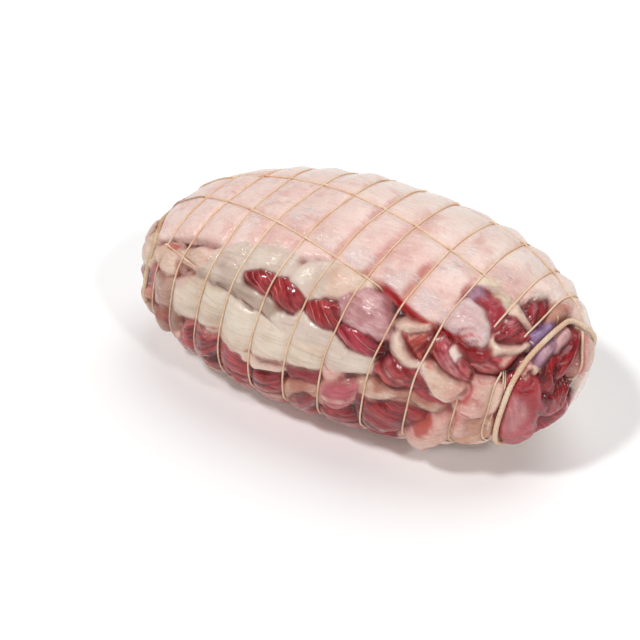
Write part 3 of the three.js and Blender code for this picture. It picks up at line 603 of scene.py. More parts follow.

# Colour that crosses the tissues, and painted sheen, highlight and shade on a few lobes: name, tone,
# strength, mm over which its edge fades, outline
STAINS = [
    ("red corner of the cap", "red", 0.7, 0.5,
     "53,12.5 51.8,14 51.2,18 51.8,22 52.5,26 53.5,26 53.8,19 53.8,15"),
    ("red under the fold lobe", "bright red", 0.9, 0.7,
     "54,44 58,42.5 62,42.5 64.5,44.5 65,47.5 60.5,47 55.5,46.5"),
    ("white lip of the fold lobe", "white fat", 0.7, 0.7,
     "66,47.5 68.5,43 71,38 70.5,32.5 72,37.5 71,42.5 68.5,46.5"),
    ("lilac on the fold lobe", "lilac veil", 0.4, 3, "55,27.5 61,24.5 65.5,28.5 64.5,35.5 58.5,38 55.5,34"),
    ("fold lobe right edge", "white fat", 0.5, 1.2, "63,23 67,26 70,30.5 67,31 63.5,27"),
    ("tan over the orange muscle", "cream", 0.85, 1.2,
     "37.5,51 40.5,45.5 45,46 49,41 52,42.5 51.5,46 47.5,47.5 44,52.5 40.5,53.5"),
    ("pale line on the orange muscle", "cream", 0.6, 0.5,
     "43.5,54 46.5,51 51,47.5 51.5,48 47,52.5 44.5,55.5"),
    # Partly the tissue's colour and partly painted shade behind the orange muscle
    ("dark behind the orange muscle", "blood", 0.7, 0.8,
     "50,43.5 52.5,43 53.5,46.5 54,55.5 54,61.5 52.5,61.5 52.5,52.5"),
    ("brown beside the purple lobe", "orange red", 0.7, 1.5,
     "53.5,50.5 55.5,48.5 58,55.5 58.5,62.5 57,66.5 55,64.5 54.5,57"),
    # Painted sheen on the middle of the purple lobe
    ("silver on the purple lobe", "silver pink", 0.5, 2, "62,57 65.5,54 68.5,58.5 68,65.5 65,65 62.5,61"),
    ("cream low on the purple lobe", "cream", 0.6, 1.8,
     "66.5,68.5 71,67.5 73,61.5 75,67.5 74.5,73.5 72,77.5 67.5,73.5"),
    ("pink low on the flap", "rose fat", 0.6, 2, "67.5,72.5 71.5,69.5 75,70 75.5,74.5 72.5,80.5 69,81"),
    ("white edge of the flap", "white fat", 0.8, 0.5,
     "55.5,69 58,75 63.5,82 69,84.5 72.5,81.5 74,78.5 72.5,80.5 69,83 64,80.5 58.5,74.5"),
    # Painted sheen, lighter at the upper part of the large red lobe
    ("lilac on the large red lobe", "lilac veil", 0.35, 2.5,
     "38.5,66 42.5,67.5 46,72 44.5,76.5 40,75 37,69.5"),
    ("orange on the large red lobe", "orange red", 0.4, 3, "37.5,77.5 45,76 50,80 47,85 41,82.5"),
    ("grey wrinkles in the fat strip", "grey strip", 0.6, 1,
     "51.5,85.5 57,87.5 62,89 66.5,88 66,89.5 61,90 55.5,89.5"),
    ("cream wedge in the fat strip", "cream", 0.7, 1.5,
     "33,84.5 37.5,85 41.5,89 49.5,87 48,90 42.5,93 37.5,92.5 34,89.5"),
    ("wet orange over the bulge", "wet orange", 0.9, 0.7,
     "57.5,97 60.5,93.5 63,92 65.5,94 65.3,100.5 63.5,103 62,108 59.5,106 58.5,100"),
    ("red left of the bulge", "deep red", 0.8, 1, "54.5,98 58,95.5 58,103 55.5,109.5 54,105"),
    ("cream on the bulge", "cream", 0.5, 3, "56,115.5 63.5,107.5 70.5,99 72,108.5 62,131 54.5,134.5"),
    ("pink right of the bulge", "rose red", 0.5, 0.8, "70.5,89.5 73,89.5 73.5,101 72,103 72,94.5"),
    ("tan streaks on the fat below", "tan fat", 0.5, 1.5, "74.5,94 83,97 85,104.5 80,108 75,104"),
    ("red seam of the pale lobe", "rose red", 0.6, 0.8, "75.5,73.5 76.5,77.5 75.5,80.5 72.5,84 73.5,79"),
    ("cream middle of the pale lobe", "pale cream", 0.5, 3, "78.5,68 84,65 86,75 84,84 79.5,80"),
    ("pink low on the pale lobe", "rose fat", 0.6, 2, "72.5,86 78,85.5 83.5,87.5 82.5,92 78,91 73.5,89.5"),
    ("red top of the knuckle", "bright red", 0.6, 1, "70,27 73,22.5 74,29 72.5,34 71,32"),
    ("silver on the knuckle", "lilac veil", 0.35, 1.5, "73.5,19.5 75.5,16.5 79.5,20 78,25.5 75,24"),
    ("pink on the knuckle fat", "rose fat", 0.5, 1, "75,34.5 81,29 81.5,34 78,39.5"),
    ("bright part of the red strip", "purple red", 0.6, 1.5, "61,19 64,14.5 69.5,16 71,22 68.5,26 64.5,23"),
    ("white stripe under the knuckle", "cream", 0.8, 0.6,
     "80,42.5 82.5,38 83,46 82.5,52 81.5,51.5 81.5,46"),
    ("brown under the knuckle", "brown red", 0.6, 1, "83.5,40.5 85.5,32 86,41.5 85,49.5 84,49.5"),
    ("pale top of the dusky muscle", "rose fat", 0.4, 1.2, "73.5,57.5 76.5,51.5 81,53.5 78.5,58 75,60"),
    ("red lines on the dark island", "bright red", 0.4, 0.5, "79.5,-0.5 80,-1.5 83,2 84,6 81,2"),
    ("orange spot on the end fat", "orange red", 0.6, 0.8, "84,-12 85,-19 87.5,-18 86,-12"),
    ("pink on the end fat", "rose fat", 0.5, 2, "84,-26.5 86,-44 91,-31 91,-16 87,-15"),
    # Painted highlight on the blue lobe and painted sheen on the lilac lobe
    ("light on the blue lobe", "sky lilac", 0.7, 1.2, "85.5,14.5 86,7 87,3 88,8 87,17"),
    ("sheen on the lilac lobe", "silver pink", 0.5, 1, "91,26.5 91,16.5 93,19.5 93.5,30.5 92,31.5"),
    ("bright on the end muscle", "bright red", 0.35, 2, "99,31.5 99.5,7 102,17 102.5,50.5 101,48"),
    ("purple low on the end muscle", "purple red", 0.6, 2, "98,68 99.5,63 102,85 102,104 99.5,87"),
    ("membrane on the lower lobe", "silver pink", 0.33, 2.5,
     "88,71 92,72.5 94.5,82.5 94,93 92,101.5 89.5,98 89,83"),
    ("red on the lower lobe", "bright red", 0.45, 1.5, "93,67 95.5,59.5 98,79.5 97.5,89 94.5,79"),
    ("purple low on the lower lobe", "purple red", 0.7, 3,
     "93,102 97.5,94 99.5,97.5 98,129 93,146 91,130.5"),
    ("streaks on the wrap rim", "rose red", 0.4, 0.8,
     "96,-20 96.5,-26.5 101.5,-14.5 103.5,-4 103,0 100,-10.5"),
    ("cream on the wrap rim", "cream", 0.5, 1.5,
     "95.5,-34 96.5,-44 101,-39.5 104,-28 103.5,-12.5 100.5,-25.5"),
    ("bottom of the red gap", "blood", 0.85, 1,
     "64.5,48.5 68,45.5 72,43.5 74.5,41.5 77.5,48 75,53.5 70,53 66.5,51.5"),
    ("bottom of the red fold", "deep red", 0.6, 1, "54,45 58,42.5 62,43 67,45 66,48 62,48.5 57,47.5"),
    ("deep red at the left front", "deep red", 0.5, 1.5, "-76,101 -70,98 -64,100 -62,108 -68,114 -75,110"),
    ("red spot above the shoulder", "bright red", 0.7, 0.6, "-81.5,56 -79.5,52 -75.5,52.5 -75.5,55 -79,57"),
    ("red crease on the shoulder", "red", 0.6, 0.7,
     "-67.5,73 -64.5,68 -59,64.5 -59,67 -63.5,70.5 -66.5,74"),
    ("red stain on the shoulder", "rose red", 0.45, 1.2, "-67.5,77.5 -63,71.5 -59,70.5 -59.5,73 -65,78"),
    ("grey streaks on the silverskin", "grey strip", 0.35, 2,
     "-62,86.5 -49.5,82 -38.5,83.5 -43,87.5 -53,90 -61,90.5"),
    ("bright middle of the silverskin", "white silver", 0.6, 4,
     "-47.5,70.5 -37,68.5 -22.5,73 -17,79.5 -24,85 -33,83.5 -43.5,80"),
    ("bright right of the silverskin", "white silver", 0.5, 3, "-11,76.5 -6,75.5 -5,83.5 -8,85"),
    ("dark streaks on the membrane", "grey strip", 0.5, 1.5, "-50,52 -44,51.5 -38.5,55.5 -41,59 -46.5,57"),
    ("light on the membrane", "white silver", 0.4, 3, "-37,40 -29,36 -23,41 -28.5,45.5 -34,45.5"),
    ("grey low on the cap", "silver", 0.5, 3, "-47.5,45.5 -39,36.5 -27,34 -25,37.5 -36,42 -43.5,49"),
    ("pink rim of the left lobe", "rose fat", 0.8, 0.7,
     "-59.5,95.5 -57.5,91.5 -53.5,89 -48,89 -42.5,90 -37,89.5 -37,91 -43,92.5 -48.5,91.5 -53,91.5 "
     "-57,96"),
    ("dark of the left lobe", "deep red", 0.6, 2, "-55,97 -47,95 -38.5,98 -40,107.5 -48,110 -55,105.5"),
    ("purple on the left muscle", "purple red", 0.5, 2, "-35,92.5 -29.5,91 -22,95 -23,101 -30.5,102.5"),
    ("purple band under the silverskin", "dusk", 0.8, 0.8,
     "-14.5,90.5 -7,90 1.5,90 13.5,88 14,90 4.5,91.5 -5.5,92.5 -14.5,93"),
    ("pale rim of the round lobe", "rose fat", 0.7, 0.8,
     "15,97.5 16.5,93.5 22,89 27,87 22,90 17.5,95 16,100.5"),
    ("lilac on the round lobe", "purple pink", 0.5, 2, "20.5,95 27.5,90 31.5,90.5 28.5,96.5 22.5,99.5"),
    ("orange on the far fat", "orange red", 0.4, 1.5, "-79,98 -73.5,93 -69,97 -73.5,104.5 -78,105"),
    ("olive on the far lobe", "silverskin", 0.7, 2,
     "-93.5,77 -94.5,60 -94,46.5 -87.5,59 -85.5,71.5 -87,80"),
    ("flush on the cap, far", "cap rose", 0.6, 5, "-82,38 -72.5,30 -57.5,28.5 -47.5,35 -54,44.5 -68,47.5"),
    ("flush on the cap, top", "cap rose", 0.2, 6, "-56,-1 -44,-5 -34,1 -37.5,12 -48,10"),
    ("flush on the cap, middle", "cap rose", 0.5, 5, "-25,17.5 -21,8 -9.5,10 -9.5,22 -17.5,26"),
    ("flush on the cap, right", "cap rose", 0.5, 3, "9,19 13.5,10 13,3.5 5.5,7.5 3.5,17.5"),
    ("streaks on the cap, right", "salmon", 0.4, 1.5, "39,-7 40.5,-10.5 47.5,-8.5 48.5,-4.5 43.5,-4.5"),
    ("streaks on the cap, end", "salmon", 0.35, 1.5, "52.5,-1.5 57.5,-2 66,-0.5 65.5,1.5 59.5,2 54.5,1"),
    ("tan on the cap", "tan fat", 0.35, 1.5, "42.5,5.5 47.5,4 50,6 50,10 46,8.5"),
    ("cream on the cap, end", "cap cream", 0.7, 6,
     "47,-19 59,-23 71.5,-25 82.5,-21.5 81.5,-15.5 71,-12 54,-11.5"),
    ("olive cream edge", "olive cream", 0.85, 0.6,
     "53.5,6.5 57.5,4 62,5 65.5,6 69,7.5 70.5,12.5 66.5,13 63.5,12 62,9.5 58.5,9 55,10"),
]

# Folds and seams, cut into the relief; the crease and black red tones are painted shade in the fold, the
# others the tissue's colour: name, mm of half width, mm of depth, tone, strength, course
CREASES = [
    ("fold lobe, first", 0.5, 0.4, "blood", 0.8, "60.5,42 62,38.5 65,36.5 67.5,36.5"),
    ("fold lobe, second", 0.5, 0.4, "bright red", 0.8, "62,44.5 64.5,40.5 67,39 70,39"),
    ("fold lobe, third", 0.4, 0.4, "blood", 0.7, "65,45 67.5,42.5 70,41.5"),
    ("left lobe, inner", 0.5, 0.6, "blood", 0.7, "-57,97 -53,93 -47,92.5 -41,94 -37,93"),
    ("left lobe, middle", 0.5, 0.5, "blood", 0.6, "-54,108 -50,103 -44,100 -39,100"),
    ("under the cap", 0.9, 1.2, "bright red", 0.9, "22,33 27,34.5 34,38.5 39.5,41.5 45,43 49,42.5 52,43"),
    ("double crease, upper", 0.35, 0.5, "crease", 0.75,
     "-52,64 -44.5,64.5 -34.5,65.5 -24,68 -18,70 -9.5,73"),
    ("double crease, lower", 0.35, 0.45, "crease", 0.7, "-50.5,65 -41.5,66.5 -33.5,67.5 -25.5,69 -19,71"),
    ("line on the membrane", 0.3, 0.25, "grey strip", 0.5,
     "-51.5,52.5 -42.5,55.5 -35,58.5 -25,61 -17,62.5 -5,65.5"),
    ("end furrow, right", 0.7, 1.2, "blood", 0.9, "94,-8 97.5,-0.5 98,10.5 97.5,24 99.5,42.5 102.5,86"),
    ("end furrow, far", 0.7, 1.2, "blood", 0.9, "95.5,-15.5 99.5,-2.5 102,17 103,49 103,95"),
    ("end furrow, near", 0.5, 0.8, "blood", 0.8, "95.5,10.5 96.5,33.5 96.5,50.5 98,68"),
    ("pale lobe", 0.4, 0.7, "rose red", 0.6, "76.5,77.5 79.5,81 81.5,83.5"),
    ("pale lobe, top", 0.4, 0.5, "rose red", 0.5, "76.5,66.5 80,66.5 83,63"),
    ("pale lobe and bulge", 0.6, 1, "red", 0.8, "72.5,89 76.5,90 81.5,93 84.5,92.5"),
    ("flap and pale lobe", 0.5, 0.8, "red", 0.7, "70,86 73,82 76,76.5 74.5,67.5"),
    ("purple lobe and gap", 0.5, 0.8, "blood", 0.8, "65.5,48.5 70,54 73.5,60 74.5,66.5"),
    ("under the fold lobe", 0.6, 1, "blood", 0.9,
     "52.5,42.5 57,43.5 63.5,47.5 68.5,46.5 72.5,42.5 73,37.5"),
    ("beside the fold lobe", 0.5, 0.8, "bright red", 0.7, "56.5,19 63,20.5 68,25 71,32 73,37.5"),
    ("knuckle and its fat", 0.4, 0.6, "rose red", 0.7, "73.5,33 77.5,30.5 81.5,27 83,19"),
    ("knuckle, left", 0.5, 0.8, "blood", 0.8, "69.5,27.5 70.5,24 72,16.5"),
    ("crevice by the cord", 1.2, 2.2, "black red", 0.95, "86,28 85.5,37.5 85.5,48 84.5,57.5 84.5,61.5"),
    ("crescent, upper", 0.5, 0.7, "red", 0.8, "43.5,55.5 47,61.5 52,65 54.5,65.5"),
    ("crescent, lower", 0.5, 0.8, "blood", 0.8, "36.5,61 41,68.5 46.5,72.5 53,71.5 55,68.5"),
    ("flap, left", 0.5, 0.8, "blood", 0.8, "55,69.5 58,76 64,83 69.5,86"),
    ("large red lobe, low", 0.5, 0.9, "crease", 0.7, "37.5,76 41.5,82.5 51,84.5 54,78.5 61,82"),
    ("fat strip, low", 0.5, 0.9, "crease", 0.8, "36.5,95.5 42.5,93.5 50.5,88.5 56.5,89 62,91.5"),
    ("end fat wrinkle", 0.3, 0.5, "brown red", 0.7, "83,-0.5 82.5,-7 83,-20.5"),
    ("end fat wrinkle, low", 0.3, 0.5, "brown red", 0.7, "85,1 85,-6 88.5,-16"),
    ("wrap rim", 0.4, 0.6, "rose red", 0.6, "94,-24.5 98,-19 102.5,-6.5 104,14"),
    ("frayed, upper", 0.45, 0.9, "black red", 0.8, "90.5,53.5 91,46.5 92,40.5"),
    ("frayed, lower", 0.45, 0.9, "black red", 0.8, "92.5,57.5 93.5,48.5 95,43"),
    ("lower lobe, top", 0.5, 0.8, "blood", 0.8, "89,66 93,63.5 95,52.5 95,41"),
    ("lower lobe, right", 0.7, 1.2, "black red", 0.8, "98,81.5 99.5,90.5 99,118.5 94,147"),
    ("shoulder", 0.4, 0.8, "brown red", 0.7, "-71.5,59 -69.5,66.5 -67.5,71.5 -60,64.5 -53.5,60"),
    ("shoulder, left", 0.4, 0.7, "brown red", 0.6, "-79,76.5 -71,74 -64,68.5"),
    ("silverskin, low", 0.6, 1, "blood", 0.8,
     "-62,92 -50,90 -37.5,88.5 -29.5,90 -20,91 -9.5,90.5 -1,90 13.5,88.5"),
    ("left lobe, low", 0.5, 0.9, "crease", 0.8, "-49.5,114.5 -40.5,111.5 -35.5,99.5 -36,91.5"),
    ("left muscle, low", 0.5, 0.9, "crease", 0.8, "-34.5,104 -27,108.5 -17.5,109 -8.5,107.5 -2.5,108"),
    ("left muscle, right", 0.4, 0.8, "crease", 0.7, "-18.5,96 -17,107"),
    ("pink triangle", 0.4, 0.7, "red", 0.7, "14.5,91.5 24,89 19.5,86.5 14,83.5"),
    ("grey shoulder", 0.35, 0.5, "brown fat", 0.6, "-77.5,85.5 -71,90 -65,90"),
    ("far wrinkled fat", 0.4, 0.7, "crease", 0.6, "-77.5,94 -70.5,93 -68,100"),
    ("muscle a", 0.4, 0.7, "blood", 0.7, "-36,52.5 -28,58.5 -19.5,61 -19,54.5"),
    ("muscle b", 0.4, 0.7, "blood", 0.7, "-17.5,62 -10,64 -4,64.5 -2,58"),
    ("shoulder, grey line", 0.3, 0.4, "grey strip", 0.6, "-50,47.5 -41.5,49.5 -36,52.5"),
]

# Loose threads of the net by the open end: name, course
THREADS = [
    ("beside the cord, upper", "84.5,-3.5 86.5,-3 88.5,-2.5"),
    ("beside the blue lobe", "85,22 86,22.5 87.5,22.5"),
    ("double thread a", "83.5,52.5 85,61.5 86.5,76"),
    ("double thread b", "84.5,51.5 86,63.5 87.5,77"),
    ("low thread a", "88,80 88,93 88.5,108"),
    ("low thread b", "86,89.5 85,98.5 87,116"),
]

# The second strand down the open end, from the cord to the knob of fat on its rim
RIM_STRAND = places("93.5,-23 95.5,-23 97.5,-19 100,-12 102.5,-5 104.2,3 104.6,14")
RIM_STRAND_RADIUS = 0.68

# Red bands on the cap beside a hoop: hoop number, from angle, to angle, width in mm, strength
BANDS = [
    (5, -20, 30, 3.4, 0.5),
    (6, -6, 32, 4.6, 0.8),
    (7, 5, 40, 5.0, 1.0),
    (8, -2, 16, 4.0, 0.6),
    (4, 0, 32, 3.0, 0.4),
]
# Places on the cap where the membrane shines: wetter and more wrinkled, and lightened towards silver pink
# and lilac as painted sheen. Columns: station, angle, length, width, strength, lilac
SHEENS = [
    (43, 33, 15, 16, 1.0, 0.8),
    (27, 27, 15, 18, 0.9, 0.5),
    (8, 25, 14, 12, 0.8, 0.2),
    (42, 6, 13, 18, 0.8, 0.1),
    (60, 2, 14, 14, 0.8, 0.0),
    (-10, 21, 15, 14, 0.7, 0.0),
    (-27, 15, 14, 20, 0.6, 0.0),
    (-45, 20, 12, 26, 0.6, 0.0),
    (-25, 36, 16, 10, 0.8, 0.0),
    (62, -30, 14, 30, 0.4, 0.0),
]


# ---------------------------------------------------------------------------------------------------------
# The surface grid: rings that follow the hoops and columns that follow the lines
# ---------------------------------------------------------------------------------------------------------
BESIDE = np.array([-1.0, -0.5, 0.0, 0.5, 1.0])  # mm from a strand's middle
RINGS_BETWEEN = 18
END_RINGS_FAR = 34
END_RINGS_OPEN = 60
COLUMNS_BETWEEN = [34, 66, 50, 36, 12, 15, 14, 15, 16]  # after each line, most on the open side


def hoop_station(hoop, angle):
    """Where a hoop lies along the roll at this angle."""
    return hoop[0] + hoop[1] * np.cos(np.radians(angle - hoop[2]))


def line_angle(line, station):
    """Where a lengthwise line lies round the roll at this station."""
    return line[0] + line[1] * station


def even_ends(start, end, count):
    """Shares of the way from a hoop to a tip, evenly spaced along the surface."""
    fine = 1 - np.cos(np.linspace(0, np.pi / 2, 400))
    fine = 1 - fine[::-1]
    stations = start + (end - start) * fine
    where = envelope(stations, np.full(400, 70.0))
    run = np.concatenate([[0], np.cumsum(length_of(np.diff(where, axis=0)))])
    return np.interp(np.linspace(0, run[-1], count + 2)[1:-1], run, fine)


def ring_table():
    """Each ring as (kind, its hoop or its two hoops, mm beside the hoop or share of the way on)."""
    rings = []
    first, last = HOOPS[0], HOOPS[-1]
    for share in even_ends(first[0], -HALF_LENGTH, END_RINGS_FAR)[::-1]:
        rings.append(("far", first, share))
    for k, hoop in enumerate(HOOPS):
        for beside in BESIDE:
            rings.append(("beside", hoop, beside))
        if k + 1 < len(HOOPS):
            for r in range(RINGS_BETWEEN):
                rings.append(("between", (hoop, HOOPS[k + 1]), (r + 1) / (RINGS_BETWEEN + 1)))
    for share in even_ends(last[0], HALF_LENGTH, END_RINGS_OPEN):
        rings.append(("open", last, share))
    return rings


def ring_stations(ring, angles):
    kind, hoop, value = ring
    if kind == "beside":
        return hoop_station(hoop, angles) + value
    if kind == "between":
        start = hoop_station(hoop[0], angles) + BESIDE[-1]
        stop = hoop_station(hoop[1], angles) + BESIDE[0]
        return start + (stop - start) * value
    if kind == "far":
        start = hoop_station(hoop, angles) + BESIDE[0]
        return start + (-HALF_LENGTH - start) * value
    start = hoop_station(hoop, angles) + BESIDE[-1]
    return start + (HALF_LENGTH - start) * value


def column_angles(station):
    """The angles of all columns at this station."""
    per_degree = frame_at(station, 90.0)["per_degree"]
    found = []
    for k, line in enumerate(LINES):
        here = line_angle(line, station)
        wrap = 360.0 if k + 1 == len(LINES) else 0.0
        after = line_angle(LINES[(k + 1) % len(LINES)], station) + wrap
        beside = min(1.0 / per_degree, 0.1 * (after - here))
        found.extend(here + BESIDE * beside)
        start, stop = here + BESIDE[-1] * beside, after + BESIDE[0] * beside
        count = COLUMNS_BETWEEN[k]
        found.extend(start + (stop - start) * np.arange(1, count + 1) / (count + 1))
    return np.array(found)


rings = ring_table()
station_rows = []
angle_rows = []
for ring in rings:
    middle_station = float(ring_stations(ring, 90.0))
    angles = column_angles(middle_station)
    angle_rows.append(angles)
    station_rows.append(ring_stations(ring, angles))
STATION = np.array(station_rows)
ANGLE = np.array(angle_rows)
ROWS, COLUMNS = STATION.shape


# ---------------------------------------------------------------------------------------------------------
# Relief and tissues on the grid
# ---------------------------------------------------------------------------------------------------------
def sunk_share(kind, number, where):
    """1 where a strand is hidden between lobes, 0 where it lies on top."""
    share = np.zeros_like(where)
    for what, which, low, high in SUNK:
        if what == kind and which == number:
            gone = ramp(where, low, low + SINKS_OVER) * (1 - ramp(where, high - SINKS_OVER, high))
            share = np.maximum(share, gone)
    return share


def pressed_at(angle):
    """1 on the underside, which the floor presses flat, and 0 elsewhere."""
    return ramp(np.abs(turned(angle)), 112, 140)


GROOVE_HALF = 0.5  # mm of groove on each side of a strand
# mm over which the groove fades, mm that the dip reaches, how deep the dip is next to a hoop's
HOOP_PULL = (0.95, 4.6, 1.0)
LINE_PULL = (0.9, 4.2, 0.8)


def strand_pull(station, angle, at):
    """A narrow groove and a wide dip at the strands on top, both 0 to 1, and mm to the nearest one."""
    strands = []
    for k, hoop in enumerate(HOOPS):
        off = np.abs(station - hoop_station(hoop, angle)) * at["per_station"]
        strands.append((off, 1 - sunk_share("hoop", k, turned(angle)), *HOOP_PULL))
    netted = ramp(station, HOOPS[0][0] - 2.0, HOOPS[0][0] - 0.5)
    netted = netted * (1 - ramp(station, HOOPS[-1][0] + 0.5, HOOPS[-1][0] + 2.0))
    for k, line in enumerate(LINES):
        off = np.abs(turned(angle - line_angle(line, station))) * at["per_degree"]
        strands.append((off, netted * (1 - sunk_share("line", k, station)), *LINE_PULL))

    narrow = np.zeros_like(station)
    wide = np.zeros_like(station)
    nearest = np.full(station.shape, 30.0)
    for off, shown, groove_fade, dip_reach, dip_share in strands:
        beside = np.maximum(off - GROOVE_HALF, 0) / groove_fade
        narrow = np.maximum(narrow, shown * np.exp(-(beside**2)))
        wide = np.maximum(wide, shown * dip_share * np.exp(-((off / dip_reach) ** 2)))
        nearest = np.minimum(nearest, off + 12 * (1 - shown))
    return narrow, wide, nearest


def smooth_path(held, steps, closed=True):
    """A Catmull-Rom curve through the held points, evenly spaced."""
    held = np.asarray(held, float)
    if not closed:
        held = np.concatenate([[2 * held[0] - held[1]], held, [2 * held[-1] - held[-2]]])
    count = len(held)
    found = []
    spans = range(count) if closed else range(1, count - 2)
    for k in spans:
        four = [held[(k + j) % count] for j in (-1, 0, 1, 2)]
        for t in np.linspace(0, 1, STEPS_A_SPAN, endpoint=False):
            found.append(curve_point(*four, t))
    found.append(held[0] if closed else held[-2])
    found = np.array(found)
    run = np.concatenate([[0], np.cumsum(length_of(np.diff(found, axis=0)))])
    want = np.linspace(0, run[-1], steps + 1)
    even = np.stack([np.interp(want, run, found[:, k]) for k in range(3)], -1)
    return even[:-1] if closed else even


def held_on(path, level):
    """Points over the roll for (station, angle, lift) places."""
    station, angle, lift = np.array(path, float).T
    at = frame_at(station, angle)
    return at["place"] + at["normal"] * (level + lift)[:, None]


def cord_course(path):
    return smooth_path(held_on(path, 0.0), 220)


def nearest_distance(p, course):
    shape = p.shape[:-1]
    flat = p.reshape(-1, 3)
    best = np.full(len(flat), np.inf)
    for point in course:
        best = np.minimum(best, ((flat - point) ** 2).sum(-1))
    return np.sqrt(best).reshape(shape)


def blurred(field, reach):
    """A soft average over this many rings and columns each way."""
    offsets = np.arange(-reach, reach + 1)
    kernel = np.exp(-((offsets / (0.55 * reach)) ** 2))
    kernel /= kernel.sum()
    out = sum(k * np.roll(field, o, 1) for k, o in zip(kernel, offsets))
    padded = np.pad(out, ((reach, reach), (0, 0)), mode="edge")
    return sum(k * padded[reach + o : reach + o + field.shape[0]] for k, o in zip(kernel, offsets))


AT = frame_at(STATION, ANGLE)
PLACE = AT["place"]


def ragged_at(seed):
    """mm by which an outline is moved to and fro, so that none runs smooth"""
    broad = noise(PLACE, 8.0, seed) * 1.0
    return broad + noise(PLACE, 3.1, seed + 5) * 0.5 + noise(PLACE, 1.6, seed + 9) * 0.12


WARP = np.stack([ragged_at(seed) for seed in (1, 2, 3)], -1)
LOOKUP = PLACE + WARP  # where each point is looked up, so that no outline runs smooth
MOTTLE = 0.5 + 0.5 * np.clip(noise(PLACE, 7.0, 21) * 1.1 + noise(PLACE, 2.6, 22) * 0.6, -1, 1)
COARSE = 0.5 + 0.5 * np.clip(noise(PLACE, 26.0, 23) * 1.3 + noise(PLACE, 12.0, 24) * 0.5, -1, 1)
SHARPNESS = 0.1  # mm of height over which one tissue's colour gives way to the next

# What the tissues leave at each grid point: mm over the envelope, colour and looks
height = np.full(STATION.shape, -1e3)
weight = np.zeros(STATION.shape)
looks = {key: np.zeros(STATION.shape) for key in LOOKS}
tone = np.zeros(STATION.shape + (3,))
grain_along = PLACE[..., 0].copy()
grain_across = PLACE[..., 1].copy()
grain_seed = np.zeros(STATION.shape)
rim_distance = np.full(STATION.shape, 5.0)


def mix(a, b, share):
    share = np.asarray(share)[..., None]
    return a * (1 - share) + b * share


def lay(where, high, colour, kind, distance, along=None, across=None, seed=0.0):
    """Lays one tissue over the grid where it stands highest."""
    share = np.exp(np.clip(high, -12, 8) / SHARPNESS)
    weight[where] += share
    tone[where] += colour * share[..., None]
    for key in looks:
        looks[key][where] += share * kind[key]
    top = high > height[where]
    for field, value in (
        (height, high),
        (rim_distance, distance),
        (grain_along, along),
        (grain_across, across),
        (grain_seed, seed),
    ):
        if value is not None:
            field[where] = np.where(top, value, field[where])


CAP_FROM_TIP = 25.5  # mm from the far tip at which the cap ends


def cap_inside():
    """mm inside the cap's edge, negative outside it."""
    turn = turned(ANGLE)
    above = np.interp(STATION, CAP_EDGE[:, 0], CAP_EDGE[:, 1]) - turn
    below = turn - CAP_UNDER - 60 * ramp(STATION, 90, 99)
    ragged = noise(PLACE, 9.0, 31) * 1.1 + noise(PLACE, 3.4, 32) * 0.6
    inside = np.maximum(above, below) * AT["per_degree"] + ragged
    from_tip = radius_share(STATION / HALF_LENGTH) * MEAN_RADIUS
    return np.where(STATION < 0, np.minimum(inside, from_tip - CAP_FROM_TIP + ragged), inside)


def sheen_at(station, angle, length, width):
    """1 in the middle of a shining place on the cap, 0 outside it."""
    at = frame_at(station, angle)
    u = (STATION - station) * at["per_station"] / (length / 2)
    v = turned(ANGLE - angle) * at["per_degree"] / (width / 2)
    uneven = noise(PLACE, 5.0, 41) * 0.45
    return 1 - ramp(np.sqrt(u * u + v * v) + uneven, 0.35, 1.15)


